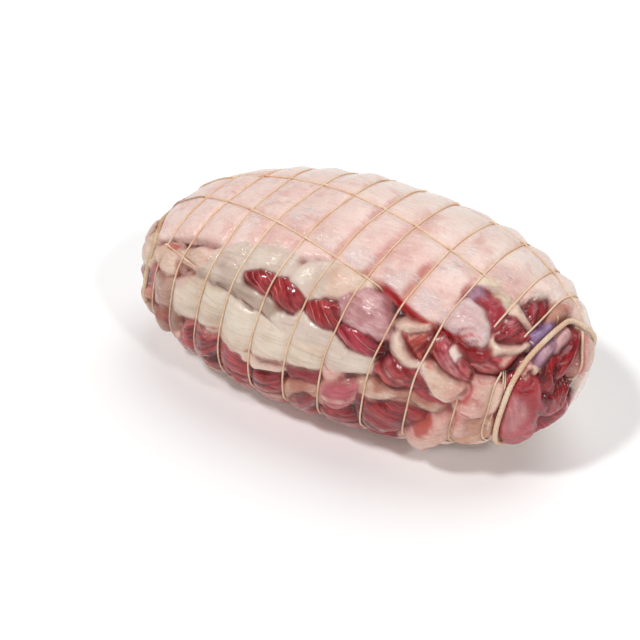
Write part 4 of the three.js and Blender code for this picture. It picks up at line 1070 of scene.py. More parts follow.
def lay_ground_and_cap():
    """Lays the crevices' bottom and the fat cap, and gives mm inside the cap's edge."""
    everywhere = (slice(None), slice(None))
    # The crevices' bottom gets the dark crease red, partly the tissue's colour and partly painted shade
    hollow_shade_tone = mix(shade("crease"), shade("crease", 1), MOTTLE)
    ground = GROUND_LEVEL + 0.8 * noise(PLACE, 6.0, 51)
    lay(everywhere, ground, hollow_shade_tone, GROUND_KIND, np.full(STATION.shape, 0.0))

    inside = cap_inside()
    turn = turned(ANGLE)
    level = CAP_LEVEL + 0.5 * waves(PLACE, 31, 1) + 0.3 * waves(PLACE, 17, 2)
    level = level + 0.22 * noise(PLACE, 7.0, 33)
    dome = np.sqrt(1 - (1 - np.clip(inside / 3.4, 0, 1)) ** 2)
    drop = 2.3 - 1.6 * ramp(STATION, -62, -52) * (1 - ramp(STATION, 8, 17)) * (turn > 0)
    high = np.where(inside > 0, level - drop * (1 - dome), level - drop + 1.6 * inside)

    pink, rose = (shade(n) for n in ("cap pink", "cap rose"))
    cream, mottled = (shade("cap cream"), shade("cap pink", 1))
    colour = mix(pink, mottled, MOTTLE * 0.75)
    back = ramp(-turn + 14 * noise(PLACE, 30.0, 34), -6, 26)
    right = ramp(STATION + 20 * noise(PLACE, 24.0, 35), 18, 62)
    colour = mix(colour, cream, np.clip(0.8 * back + 0.45 * right, 0, 0.9))
    flushed = ramp(COARSE, 0.52, 0.95) * (0.75 - 0.45 * back)
    colour = mix(colour, rose, flushed)
    for number, low, high_angle, width, strength in BANDS:
        hoop = HOOPS[number]
        off = (hoop_station(hoop, ANGLE) - STATION) * AT["per_station"]
        off = off + 0.5 * noise(PLACE, 6.0, 36)
        along = ramp(turn, low, low + 14) * (1 - ramp(turn, high_angle - 2, high_angle + 3))
        band = ramp(off, -1.0, 0.2) * (1 - ramp(off, width * 0.45, width))
        patchy = 1.0 + 0.3 * noise(PLACE, 5.0, 37)
        colour = mix(colour, shade("salmon"), np.clip(band * along * strength * patchy, 0, 0.95))
    wet = np.full(STATION.shape, CAP_KIND["wet"])
    wrinkle = np.full(STATION.shape, CAP_KIND["wrinkle"])
    for station, angle, length, width, strength, lilac in SHEENS:
        share = sheen_at(station, angle, length, width) * strength
        # Painted sheen: the colour pulled towards silver pink and lilac
        colour = mix(colour, shade("silver pink", 1), share * 0.45)
        colour = mix(colour, shade("lilac veil"), share * lilac * 0.5)
        wet = np.maximum(wet, share)
        wrinkle = np.maximum(wrinkle, 0.35 + 0.65 * share)
    red_edge = ramp(STATION, 18, 27) * (1 - ramp(STATION, 56, 60))
    red_edge = red_edge * (1 - ramp(inside, 0.4, 2.0)) * ramp(turn, 15, 30)
    colour = mix(colour, shade("bright red"), red_edge * 0.9)
    kind = {**CAP_KIND, "wet": wet, "wrinkle": wrinkle}
    lay(everywhere, high, colour, kind, np.maximum(inside, 0))
    return inside


def near_patch(patch):
    """The grid points that may lie on a patch, and how far inside its outline each lies."""
    d = LOOKUP - patch.origin
    near = (np.abs(d @ patch.normal) < PATCH_DEPTH) & ((d * d).sum(-1) < patch.reach**2 + PATCH_DEPTH**2)
    near &= (AT["normal"] @ patch.normal) > -0.2
    where = np.nonzero(near)
    return where, inside_distance(patch.flat(LOOKUP[where]), patch.outline)


def lay_patch(patch, index):
    """Lays a patch as a low dome that falls to its outline."""
    where, distance = near_patch(patch)
    keep = distance > -PATCH_MARGIN
    where = (where[0][keep], where[1][keep])
    distance = distance[keep]
    kind = patch.kind
    t = np.clip(distance / kind["round"], 0, 1)
    dome = 1 - (1 - t) ** 2.2
    crown = patch.crown + 0.35 * noise(PLACE[where], 5.5, 60 + index)
    high = crown - kind["drop"] * (1 - dome) + 1.7 * np.minimum(distance, 0)
    colour = mix(patch.tone[0], patch.tone[1], MOTTLE[where] ** 1.4)
    if patch.rim is not None:
        edge = 1 - ramp(distance + 0.5 * noise(PLACE[where], 3.0, 77), 0.5, 1.7)
        colour = mix(colour, patch.rim, 0.8 * edge)
    along, across = patch.flat(PLACE[where]).T
    lay(where, high, colour, kind, np.maximum(distance, 0), along, across, float(index))


FIRST_STAIN_SEED = 300


def lay_stain(tone_name, strength, fade, corners, seed):
    """Colours the tissues inside an outline, with an uneven edge."""
    stain = Patch("sheet", tone_name, 0.0, 0.0, corners)
    where, distance = near_patch(stain)
    uneven = noise(PLACE[where], 2.0 + fade, seed) * 0.5 * fade + noise(PLACE[where], 1.5, seed + 1) * 0.25
    share = strength * ramp(distance + uneven, -fade, 0.7 * fade)
    tone[where] = mix(tone[where], mix(stain.tone[0], stain.tone[1], MOTTLE[where]), share)


def softened(field, share=0.5):
    """The field after one light pass, which keeps steep edges from stepping with the grid."""
    for axis in (0, 1):
        before, after = np.roll(field, 1, axis), np.roll(field, -1, axis)
        if axis == 0:
            before[0], after[-1] = field[0], field[-1]
        field = (1 - share) * field + share / 2 * (before + after)
    return field


NARROWEST_CREASE = 0.55  # mm of half width that the grid still carries


def crease_share(half_width, course):
    """How strongly a fold along the course shows at each grid point, 0 to 1."""
    held = held_on([(*place, 0.0) for place in course], 0.0)
    length = length_of(np.diff(held, axis=0)).sum()
    points = smooth_path(held, max(int(length / 0.35), 6), closed=False)
    middle = points.mean(0)
    reach = length_of(points - middle).max() + 3 * half_width + 1
    where = np.nonzero(length_of(LOOKUP - middle) < reach)
    places = LOOKUP[where]
    best = np.full(len(places), np.inf)
    run = np.zeros(len(places))
    for k, point in enumerate(points):
        off = ((places - point) ** 2).sum(-1)
        closer = off < best
        best = np.where(closer, off, best)
        run = np.where(closer, k / (len(points) - 1), run)
    taper = ramp(run, -0.02, 0.14) * (1 - ramp(run, 0.86, 1.02))
    share = np.zeros(STATION.shape)
    share[where] = np.exp(-best / half_width**2) * taper
    return share


# Each tissue is laid down in turn, and the highest one shows
inside_cap = lay_ground_and_cap()
for index, patch in enumerate(patches):
    lay_patch(patch, index)
tone /= weight[..., None]
for key in looks:
    looks[key] /= weight
on_cap = ramp(inside_cap, 0.5, 2.5)
for index, (_, *row, outline) in enumerate(STAINS):
    lay_stain(*row, places(outline), FIRST_STAIN_SEED + 2 * index)

# Seams where tissues meet, with painted shade darkening each seam, deeper reds on the muscles, and folds,
# the dark ones painted shade
SEAM_WIDTH = 0.8  # mm
SEAM_DEPTH = 0.7  # mm
SEAM_SHADE = np.array([0.3, 0.5, 0.46])  # share taken from red, green and blue
MUSCLE_DEEPENING = np.array([0.03, 0.42, 0.38])
height = softened(softened(height), 0.25)
tone = softened(tone, 0.25)
for key in looks:
    looks[key] = softened(looks[key])
seam = softened(softened(np.exp(-((rim_distance / SEAM_WIDTH) ** 2)) * looks["seam"]))
height = height - SEAM_DEPTH * seam
tone = tone * (1 - seam[..., None] * SEAM_SHADE)
deeper = looks["grain"] * (1 - np.clip(looks["stripes"], 0, 1))
tone = tone * (1 - deeper[..., None] * MUSCLE_DEEPENING)
fold_depth = np.zeros(STATION.shape)
for _, half_width, depth, tone_name, strength, course in CREASES:
    share = crease_share(max(half_width, NARROWEST_CREASE), places(course))
    fold_depth = np.maximum(fold_depth, depth * share)
    tone = mix(tone, shade(tone_name), strength * share**0.8)
height = height - fold_depth

# Painted shade in the hollows, narrow ones and wide ones: dark red where the surface lies below its blurred
# surroundings, less on the cap
cavity = blurred(height, 3) - height
wide_cavity = blurred(height, 7) - height
crease = softened(np.clip(ramp(cavity, 0.08, 0.7) * 0.85 + ramp(wide_cavity, 0.5, 2.2) * 0.5, 0, 1))
hollow_shade_tone = mix(shade("crease"), shade("brown red", 1), looks["grain"] < 0.2)
tone = mix(tone, hollow_shade_tone, crease * (0.85 - 0.5 * on_cap))

# The strands and cords press grooves, and the fat swells between them
narrow, wide, nearest_strand = strand_pull(STATION, ANGLE, AT)
cord_near = np.zeros(STATION.shape)
for path in (OPEN_CORD, FAR_CORD):
    off = nearest_distance(PLACE, cord_course(path)[::2])
    cord_near = np.maximum(cord_near, np.exp(-((np.maximum(off - 0.9, 0) / 1.2) ** 2)))
buried = ramp(turned(ANGLE), 66, 78) * (1 - ramp(turned(ANGLE), 118, 132)) * (STATION < 0)
groove = GROOVE_LEVEL - PRESSED * pressed_at(ANGLE)
trough = CORD_LEVEL - CORD_RADIUS - 0.1
pillow = 1 - np.exp(-((nearest_strand / 6.0) ** 2))
first_hoop, last_hoop = HOOPS[0, 0], HOOPS[-1, 0]
pillow = pillow * ramp(STATION, first_hoop - 7, first_hoop) * (1 - ramp(STATION, last_hoop, last_hoop + 7))
plump = 0.35 + 0.75 * ramp(STATION, 10, 62) + 0.35 * ramp(-turned(ANGLE), 10, 60)
plump = 0.3 + (plump - 0.3) * on_cap
relief = height + pillow * plump * (1 - pressed_at(ANGLE))
relief = relief - 0.45 * np.maximum(relief - groove, 0) * wide
relief = relief - np.maximum(relief - groove, 0) * narrow
relief = relief - np.maximum(relief - trough, 0) * cord_near * (1 - 0.9 * buried)

# Low wrinkles where the skin of the fat is pushed together beside the strands, along the roll
stretched = LOOKUP * np.array([0.42, 1.0, 1.0])
ridges = 1 - np.abs(noise(stretched, 2.6, 71)) * 2.2
fine_ridges = 1 - np.abs(noise(stretched, 1.4, 72)) * 2.2
beside_strand = ramp(wide, 0.12, 0.6) * (1 - ramp(narrow, 0.2, 0.8))
relief = relief + looks["wrinkle"] * (0.2 * ridges + 0.09 * fine_ridges) * (0.35 + 0.65 * beside_strand)
fibre_lookup = np.stack([grain_along * 0.1, grain_across, grain_seed * 9.0], -1)
relief = relief + 0.22 * looks["grain"] * noise(fibre_lookup, 1.7, 73)
looks["wet"] = np.maximum(looks["wet"], 0.75 * on_cap * beside_strand)
# A tan tint in the strands' grooves on the cap, painted shade under each strand
tone = mix(tone, linear((230, 186, 158)), 0.3 * narrow * on_cap)

POINTS = PLACE + AT["normal"] * relief[..., None]
SETTLE = 0.9  # mm over which the underside turns onto the floor
above_floor = POINTS[..., 2] - FLOOR
settled = np.clip(above_floor + SETTLE, 0, None) ** 2 / (4 * SETTLE)
POINTS[..., 2] = FLOOR + np.where(above_floor > SETTLE, above_floor, settled)


def mesh_object(name, points, faces):
    mesh = bpy.data.meshes.new(name)
    mesh.from_pydata(to_world(points).tolist(), [], faces)
    mesh.update()
    mesh.shade_smooth()
    piece = bpy.data.objects.new(name, mesh)
    bpy.context.scene.collection.objects.link(piece)
    return piece


def grid_faces(rows, columns, wrap_rows=False):
    faces = []
    for r in range(rows if wrap_rows else rows - 1):
        here, there = r * columns, ((r + 1) % rows) * columns
        for c in range(columns):
            n = (c + 1) % columns
            faces.append((here + c, here + n, there + n, there + c))
    return faces


def with_tips(field):
    """The grid's values in one list, with a mean value for each tip."""
    flat = field.reshape(ROWS * COLUMNS, -1)
    far = field[0].reshape(COLUMNS, -1).mean(0)
    open_ = field[-1].reshape(COLUMNS, -1).mean(0)
    return np.concatenate([flat, far[None], open_[None]])


def carry(piece, name, kind, field):
    """Stores the grid's values in the piece's points, for the material."""
    key = {"FLOAT": "value", "FLOAT_COLOR": "color", "FLOAT_VECTOR": "vector"}[kind]
    piece.data.attributes.new(name, kind, "POINT").data.foreach_set(key, with_tips(field).ravel())


def build_meat():
    faces = grid_faces(ROWS, COLUMNS)
    far, open_ = ROWS * COLUMNS, ROWS * COLUMNS + 1
    last = (ROWS - 1) * COLUMNS
    for c in range(COLUMNS):
        n = (c + 1) % COLUMNS
        faces.append((far, n, c))
        faces.append((open_, last + c, last + n))
    piece = mesh_object("rolled_meat", with_tips(POINTS), faces)
    opaque = np.ones(STATION.shape + (1,))
    carry(piece, "tone", "FLOAT_COLOR", np.concatenate([tone, opaque], -1))
    tissue = [looks[key] for key in ("grain", "wet", "wrinkle", "stripes")]
    carry(piece, "tissue", "FLOAT_COLOR", np.stack(tissue, -1))
    carry(piece, "streaks", "FLOAT", looks["streaks"])
    carry(piece, "grain", "FLOAT_VECTOR", np.stack([grain_along, grain_across, grain_seed * 17.0], -1))
    carry(piece, "cap", "FLOAT", on_cap)
    return piece


# ---------------------------------------------------------------------------------------------------------
# Yarn: the net and the cords
# ---------------------------------------------------------------------------------------------------------
def yarn(course, outward, radius, plies, lay_length, sides, closed, depth=0.36):
    """A twisted yarn along a course, as points and faces. The radius may change along it."""
    ahead = np.roll(course, -1, 0) - np.roll(course, 1, 0)
    if not closed:
        ahead[0] = course[1] - course[0]
        ahead[-1] = course[-1] - course[-2]
    ahead = unit(ahead)
    out = unit(outward - ahead * (outward * ahead).sum(-1)[:, None])
    side = np.cross(ahead, out)
    step = length_of(np.diff(course, axis=0, append=course[:1] if closed else course[-1:]))
    run = np.concatenate([[0], np.cumsum(step)])[: len(course)]
    turns = run / lay_length
    if closed:
        total = step.sum() / lay_length
        turns = turns * max(round(total), 1) / total
    radius = np.broadcast_to(np.asarray(radius, float), (len(course),))
    points = []
    for k in range(sides):
        round_it = 2 * np.pi * k / sides
        lobed = np.abs(np.cos(plies / 2 * (round_it - 2 * np.pi * turns)))
        far = radius * (1.06 - depth + depth * lobed)
        points.append(
            course + out * (far * np.cos(round_it))[:, None] + side * (far * np.sin(round_it))[:, None]
        )
    points = np.stack(points, 1).reshape(-1, 3)
    faces = grid_faces(len(course), sides, wrap_rows=closed)
    if not closed:
        faces.append(tuple(range(sides)))
        faces.append(tuple(range((len(course) - 1) * sides, len(course) * sides))[::-1])
    return points, faces


def gather(parts):
    points, faces, start = [], [], 0
    for some_points, some_faces in parts:
        points.append(some_points)
        faces.extend(tuple(i + start for i in face) for face in some_faces)
        start += len(some_points)
    return np.concatenate(points), faces


# Steps, depths and lengths in mm
STRAND_STEP = 0.85
STRAND_SIDES = 8
THREAD_STEP = 0.6
SUNK_DEPTH = 6.5
TUCK = 1.5
HOOP_LENGTH = 330


def strand_place(station, angle, sunk):
    at = frame_at(station, angle)
    level = STRAND_LEVEL - PRESSED * pressed_at(angle) - SUNK_DEPTH * sunk
    p = at["place"] + at["normal"] * level[..., None]
    p[..., 2] = np.maximum(p[..., 2], FLOOR + STRAND_RADIUS * 1.3)
    return p, at["normal"]


def build_net():
    parts = []
    for k, hoop in enumerate(HOOPS):
        count = int(HOOP_LENGTH / STRAND_STEP)
        angle = np.arange(count) * 360.0 / count
        station = hoop_station(hoop, angle) + 0.25 * np.sin(np.radians(angle * 9 + 40 * k))
        course, out = strand_place(station, angle, sunk_share("hoop", k, turned(angle)))
        parts.append(yarn(course, out, STRAND_RADIUS, 2, 2.6, STRAND_SIDES, True))
    for k, line in enumerate(LINES):
        low, high = HOOPS[0][0], HOOPS[-1][0]
        count = int((high - low) * 1.05 / STRAND_STEP)
        station = np.linspace(low, high, count)
        crossing = np.min([np.abs(station - hoop[0]) for hoop in HOOPS], axis=0)
        angle = line_angle(line, station)
        course, out = strand_place(station, angle, sunk_share("line", k, station))
        course = course + out * (0.5 * np.exp(-((crossing / 1.4) ** 2)))[:, None]
        radius = STRAND_RADIUS * (0.88 + 0.5 * np.exp(-((crossing / 1.5) ** 2)))
        parts.append(yarn(course, out, radius, 2, 2.2, STRAND_SIDES, False))
    return mesh_object("elastic_net", *gather(parts))


def resting_level(station, angle):
    """mm from the smooth roll to the finished surface at this place."""
    away = PLACE - frame_at(station, angle)["place"]
    return relief.ravel()[np.argmin((away * away).sum(-1))]


def thread(course, radius, lift, tucked):
    """A short thread lying on the surface through (station, angle) places, its ends tucked in or not."""
    levels = np.array([resting_level(*place) + lift for place in course])
    for _ in range(3):  # drawn tight, it bridges the dips between its rests
        levels[1:-1] = np.maximum(levels[1:-1], 0.5 * (levels[:-2] + levels[2:]))
    if tucked:
        levels[0] -= TUCK
        levels[-1] -= TUCK
    held = held_on([(*place, level) for place, level in zip(course, levels)], 0.0)
    length = length_of(np.diff(held, axis=0)).sum()
    points = smooth_path(held, max(int(length / THREAD_STEP), 5), closed=False)
    at = frame_at(*np.array(course, float).T)
    outward = np.broadcast_to(at["normal"].mean(0), points.shape)
    return yarn(points, outward, radius, 2, 2.4, STRAND_SIDES, False)


def ties(hoop, path, hidden):
    """Threads from the net's last hoop to the end cord, one for each line that isn't hidden."""
    station, angle, lift = np.array(path, float).T
    angle = turned(angle)
    order = np.argsort(angle)
    around = np.concatenate([angle[order] - 360, angle[order], angle[order] + 360])
    stations = np.tile(station[order], 3)
    found = []
    for k, line in enumerate(LINES):
        if k in hidden:
            continue
        start = turned(line_angle(line, hoop[0]))
        end_station = np.interp(start, around, stations)
        steps = np.linspace(0.0, 1.0, 6)
        first = hoop_station(hoop, start)
        course = [(first + (end_station - first) * t, start + 3.0 * t * t) for t in steps]
        found.append(thread(course, STRAND_RADIUS * 0.9, 0.25, False))
    return found


def build_cord(name, path, more):
    course = smooth_path(held_on(path, CORD_LEVEL), 420)
    out = course - course.mean(0)
    parts = [yarn(course, out, CORD_RADIUS, 3, 5.5, 18, True, 0.2)] + more
    return mesh_object(name, *gather(parts))


# ---------------------------------------------------------------------------------------------------------
# Materials
# ---------------------------------------------------------------------------------------------------------
class Nodes:
    """Short calls for building a material's node tree."""

    def __init__(self, name):
        self.material = bpy.data.materials.new(name)
        self.material.use_nodes = True
        self.tree = self.material.node_tree
        self.tree.nodes.clear()

    def add(self, kind, **settings):
        node = self.tree.nodes.new(kind)
        for key, value in settings.items():
            setattr(node, key, value)
        return node

    def link(self, source, target):
        self.tree.links.new(source, target)

    def put(self, value, socket):
        if hasattr(value, "is_output"):
            self.link(value, socket)
        else:
            socket.default_value = value

    def attribute(self, name):
        return self.add("ShaderNodeAttribute", attribute_name=name)

    def split(self, vector):
        node = self.add("ShaderNodeSeparateXYZ")
        self.link(vector, node.inputs[0])
        return node.outputs

    def join(self, x, y, z):
        node = self.add("ShaderNodeCombineXYZ")
        for value, socket in zip((x, y, z), node.inputs):
            self.put(value, socket)
        return node.outputs[0]

    def maths(self, operation, a, b=0.0, clamp=False):
        node = self.add("ShaderNodeMath", operation=operation, use_clamp=clamp)
        self.put(a, node.inputs[0])
        self.put(b, node.inputs[1])
        return node.outputs[0]

    def times(self, a, b):
        return self.maths("MULTIPLY", a, b)

    def plus(self, a, b):
        return self.maths("ADD", a, b)

    def minus(self, a, b, clamp=False):
        return self.maths("SUBTRACT", a, b, clamp)

    def noise(self, vector, scale, detail=3.0, roughness=0.55, distortion=0.0):
        node = self.add("ShaderNodeTexNoise")
        node.inputs["Scale"].default_value = scale
        node.inputs["Detail"].default_value = detail
        node.inputs["Roughness"].default_value = roughness
        node.inputs["Distortion"].default_value = distortion
        self.link(vector, node.inputs["Vector"])
        return node.outputs["Fac"]

    def spread(self, value, low, high, to_low=0.0, to_high=1.0):
        node = self.add("ShaderNodeMapRange", interpolation_type="SMOOTHSTEP")
        self.put(value, node.inputs["Value"])
        for key, number in (("From Min", low), ("From Max", high), ("To Min", to_low), ("To Max", to_high)):
            self.put(number, node.inputs[key])
        return node.outputs["Result"]

    def blend(self, share, a, b, kind="MIX"):
        node = self.add("ShaderNodeMix", data_type="RGBA", blend_type=kind)
        self.put(share, node.inputs[0])
        self.put(a, node.inputs[6])
        self.put(b, node.inputs[7])
        return node.outputs[2]

    def tint(self, colour, mask, strength, name, kind="MIX"):
        """The colour with one of the named shades blended in where the mask is."""
        return self.blend(self.times(mask, strength), colour, rgb(SHADES[name]), kind)

    def stretched(self, x, y, z, *scales):
        """Coordinates scaled by these numbers; those left without one stay as they are."""
        scaled = [self.times(value, scale) for value, scale in zip((x, y, z), scales)]
        return self.join(*scaled, *(x, y, z)[len(scales):])

    def bump(self, height_value, strength, distance):
        node = self.add("ShaderNodeBump")
        self.put(strength, node.inputs["Strength"])
        node.inputs["Distance"].default_value = distance
        self.link(height_value, node.inputs["Height"])
        return node.outputs["Normal"]

    def finish(self, shader):
        out = self.add("ShaderNodeOutputMaterial")
        self.link(shader.outputs[0], out.inputs["Surface"])
        return self.material


def rgb(colour):
    return (*linear(colour), 1.0)


# sRGB colours that the meat's material blends in over the tone of each tissue
SHADES = {
    "dark bundle": (178, 84, 90),
    "dark blotch": (196, 120, 120),
    "pale fibre": (200, 86, 86),
    "film": (192, 92, 102),
    "pale stripe": (226, 176, 166),
    "skin streak": (196, 178, 162),
    "skin band": (236, 222, 206),
    "flush": (212, 140, 130),
    "pale stroke": (246, 232, 224),
    "dark stroke": (206, 150, 138),
    "pale grain": (246, 232, 222),
    "vessel": (176, 92, 86),
    "fine speck": (206, 168, 164),
    "silver glint": (253, 246, 243),
}


def meat_material():
    n = Nodes("raw_meat")
    tone_here = n.attribute("tone").outputs["Color"]
    tissue_here = n.attribute("tissue")
    tissue = n.split(tissue_here.outputs["Vector"])
    muscle, wet, wrinkle = tissue[0], tissue[1], tissue[2]
    stripes = tissue_here.outputs["Alpha"]
    streaks = n.attribute("streaks").outputs["Fac"]
    on_cap_here = n.attribute("cap").outputs["Fac"]
    grain = n.split(n.attribute("grain").outputs["Vector"])
    where = n.add("ShaderNodeTexCoord").outputs["Object"]
    at = n.split(where)

    # Muscle grain: long thin fibres along each muscle, with a few pale stripes
    sway = n.noise(where, 150.0, 2.0)
    bow = n.times(n.times(grain[0], grain[0]), 0.012)
    bowed = n.plus(grain[1], bow)
    across = n.plus(bowed, n.times(sway, 2.4))
    fibre_place = n.stretched(grain[0], across, grain[2], 0.09, 0.95)
    fibre = n.noise(fibre_place, 1.0, 4.0, 0.62)
    bundle_place = n.stretched(grain[0], across, grain[2], 0.06, 0.4)
    bundle = n.noise(bundle_place, 1.0, 2.0, 0.5)
    blotch = n.noise(where, 170.0, 4.0, 0.6, 0.6)

    dark = n.times(n.spread(bundle, 0.38, 0.56, 0.85, 0.0), muscle)
    colour = n.tint(tone_here, dark, 1.0, "dark bundle", "MULTIPLY")
    dark = n.times(n.spread(blotch, 0.36, 0.56, 0.7, 0.0), muscle)
    colour = n.tint(colour, dark, 1.0, "dark blotch", "MULTIPLY")
    pale_fibre = n.times(n.spread(fibre, 0.56, 0.74), muscle)
    colour = n.tint(colour, pale_fibre, 0.3, "pale fibre")
    film = n.times(n.spread(blotch, 0.56, 0.72), muscle)
    colour = n.tint(colour, film, 0.18, "film")

    turns = n.plus(n.times(across, 0.36), n.times(bundle, 1.1))
    stripe = n.maths("ABSOLUTE", n.minus(n.maths("FRACT", turns), 0.5))
    stripe = n.times(n.spread(stripe, 0.02, 0.1, 1.0, 0.0), stripes)
    broken_place = n.stretched(grain[0], across, grain[2], 0.07, 0.3)
    broken = n.spread(n.noise(broken_place, 1.3, 2.0), 0.44, 0.58)
    stripe = n.times(stripe, broken)
    colour = n.tint(colour, stripe, 0.62, "pale stripe")

    # Silverskin: faint long streaks, grey in places
    skin_across = n.plus(grain[1], n.times(n.noise(where, 25.0, 1.0), 3.0))
    skin_place = n.stretched(grain[0], skin_across, grain[2], 0.035, 0.62)
    skin = n.noise(skin_place, 1.0, 4.0, 0.6)
    band_place = n.stretched(grain[0], skin_across, grain[2], 0.03, 0.16)
    bands = n.noise(band_place, 1.0, 2.0, 0.5)
    patchy = n.spread(n.noise(where, 60.0, 2.0), 0.38, 0.62, 0.25, 1.0)
    shaded = n.times(n.times(n.spread(skin, 0.36, 0.54, 1.0, 0.0), streaks), patchy)
    colour = n.tint(colour, shaded, 0.36, "skin streak", "MULTIPLY")
    shaded = n.times(n.spread(bands, 0.4, 0.62), streaks)
    colour = n.tint(colour, shaded, 0.3, "skin band")

    # Mottling of the fat: pink and cream clouds, strokes along the roll, pale grains, a few fine vessels
    clouds = n.noise(where, 95.0, 5.0, 0.62, 0.4)
    grains = n.noise(where, 700.0, 3.0, 0.7)
    stroke_place = n.stretched(*at, 170.0, 620.0, 620.0)
    strokes = n.noise(stroke_place, 1.0, 4.0, 0.62, 0.5)
    paleness = n.spread(n.split(tone_here)[1], 0.1, 0.36)
    fat = n.times(n.minus(1.0, muscle, clamp=True), paleness)
    soft_fat = n.times(fat, n.minus(1.0, streaks, clamp=True))
    flush = n.times(n.spread(clouds, 0.5, 0.7), soft_fat)
    colour = n.tint(colour, flush, 0.3, "flush", "MULTIPLY")
    stroke = n.times(n.spread(strokes, 0.52, 0.68), soft_fat)
    colour = n.tint(colour, stroke, 0.3, "pale stroke")
    stroke = n.times(n.spread(strokes, 0.34, 0.48, 1.0, 0.0), soft_fat)
    colour = n.tint(colour, stroke, 0.12, "dark stroke", "MULTIPLY")
    whiter = n.times(n.spread(grains, 0.55, 0.75), fat)
    colour = n.tint(colour, whiter, 0.18, "pale grain")
    vessel = n.maths("ABSOLUTE", n.minus(n.noise(where, 60.0, 3.0, 0.6, 1.2), 0.5))
    vessel = n.times(n.spread(vessel, 0.0, 0.014, 1.0, 0.0), n.spread(clouds, 0.45, 0.6))
    colour = n.tint(colour, vessel, 0.16, "vessel")

    fine = n.noise(where, 1300.0, 3.0, 0.65, 0.3)
    colour = n.tint(colour, n.spread(fine, 0.34, 0.52, 1.0, 0.0), 0.12, "fine speck", "MULTIPLY")
    # Painted glints: near-white flecks on the wrinkled fat, strongest on the cap
    glint_place = n.stretched(*at, 330.0, 1000.0, 1000.0)
    glints = n.noise(glint_place, 1.0, 2.0, 0.6, 0.8)
    painted_glint = n.times(n.spread(wrinkle, 0.3, 0.8), fat)
    painted_glint = n.times(n.spread(glints, 0.54, 0.68), painted_glint)
    painted_glint = n.times(painted_glint, n.spread(on_cap_here, 0.0, 1.0, 0.3, 1.0))
    colour = n.tint(colour, painted_glint, 0.6, "silver glint")

    # Fine bumps: fibres on muscle, wrinkled membrane on fat, fine ripples where it is wet
    crinkle = n.noise(where, 420.0, 4.0, 0.62, 0.8)
    ripple = n.noise(where, 190.0, 3.0, 0.6, 1.2)
    membrane = n.plus(n.times(crinkle, 0.35), n.times(ripple, 0.6))
    membrane = n.plus(membrane, n.times(strokes, 0.8))
    membrane = n.times(membrane, n.plus(0.2, wrinkle))
    fibres = n.times(n.plus(fibre, bundle), muscle)
    relief_here = n.plus(n.plus(membrane, fibres), n.times(painted_glint, 0.25))
    glaze_strokes = n.times(n.noise(stroke_place, 0.8, 1.0, 0.5, 0.6), n.plus(0.3, wrinkle))
    glaze_strokes = n.plus(glaze_strokes, n.times(glints, wrinkle))
    glaze = n.plus(glaze_strokes, n.times(n.noise(where, 380.0, 2.0, 0.5, 1.0), 0.6))

    shader = n.add("ShaderNodeBsdfPrincipled")
    n.link(colour, shader.inputs["Base Color"])
    n.link(n.spread(grains, 0.3, 0.7, 0.42, 0.58), shader.inputs["Roughness"])
    shader.inputs["Subsurface Weight"].default_value = 0.16
    shader.inputs["Subsurface Radius"].default_value = (1.0, 0.35, 0.2)
    shader.inputs["Subsurface Scale"].default_value = 0.001
    shader.inputs["Specular IOR Level"].default_value = 0.12
    shader.inputs["IOR"].default_value = 1.42
    n.link(wet, shader.inputs["Coat Weight"])
    shader.inputs["Coat Roughness"].default_value = 0.1
    shader.inputs["Coat IOR"].default_value = 1.5
    n.link(n.bump(relief_here, 0.8, 0.0012), shader.inputs["Normal"])
    n.link(n.bump(glaze, 0.5, 0.001), shader.inputs["Coat Normal"])
    return n.finish(shader)


def yarn_material(name, pale, stained, fibre_scale):
    n = Nodes(name)
    where = n.add("ShaderNodeTexCoord").outputs["Object"]
    stain = n.noise(where, 55.0, 3.0, 0.6)
    fuzz = n.noise(where, fibre_scale, 4.0, 0.7)
    colour = n.blend(n.spread(stain, 0.4, 0.64), rgb(pale), rgb(stained))
    colour = n.blend(n.spread(fuzz, 0.3, 0.7, 0.5, 0.0), colour, rgb((186, 140, 108)), "MULTIPLY")
    shader = n.add("ShaderNodeBsdfPrincipled")
    n.link(colour, shader.inputs["Base Color"])
    shader.inputs["Roughness"].default_value = 0.75
    shader.inputs["Sheen Weight"].default_value = 0.1
    shader.inputs["Subsurface Weight"].default_value = 0.1
    shader.inputs["Subsurface Radius"].default_value = (1.0, 0.8, 0.6)
    shader.inputs["Subsurface Scale"].default_value = 0.0008
    n.link(n.bump(fuzz, 0.5, 0.0003), shader.inputs["Normal"])
    return n.finish(shader)


def floor_material():
    n = Nodes("pale_floor")
    where = n.add("ShaderNodeTexCoord").outputs["Object"]
    colour = n.blend(n.noise(where, 3.0, 2.0), rgb((252, 252, 252)), rgb((255, 255, 255)))
    shader = n.add("ShaderNodeBsdfPrincipled")
    n.link(colour, shader.inputs["Base Color"])
    shader.inputs["Roughness"].default_value = 0.9
    return n.finish(shader)


# ---------------------------------------------------------------------------------------------------------
# The pieces
# ---------------------------------------------------------------------------------------------------------
def dress(piece, material, node):
    piece.data.materials.append(material)
    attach(piece, "root")
    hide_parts(node)


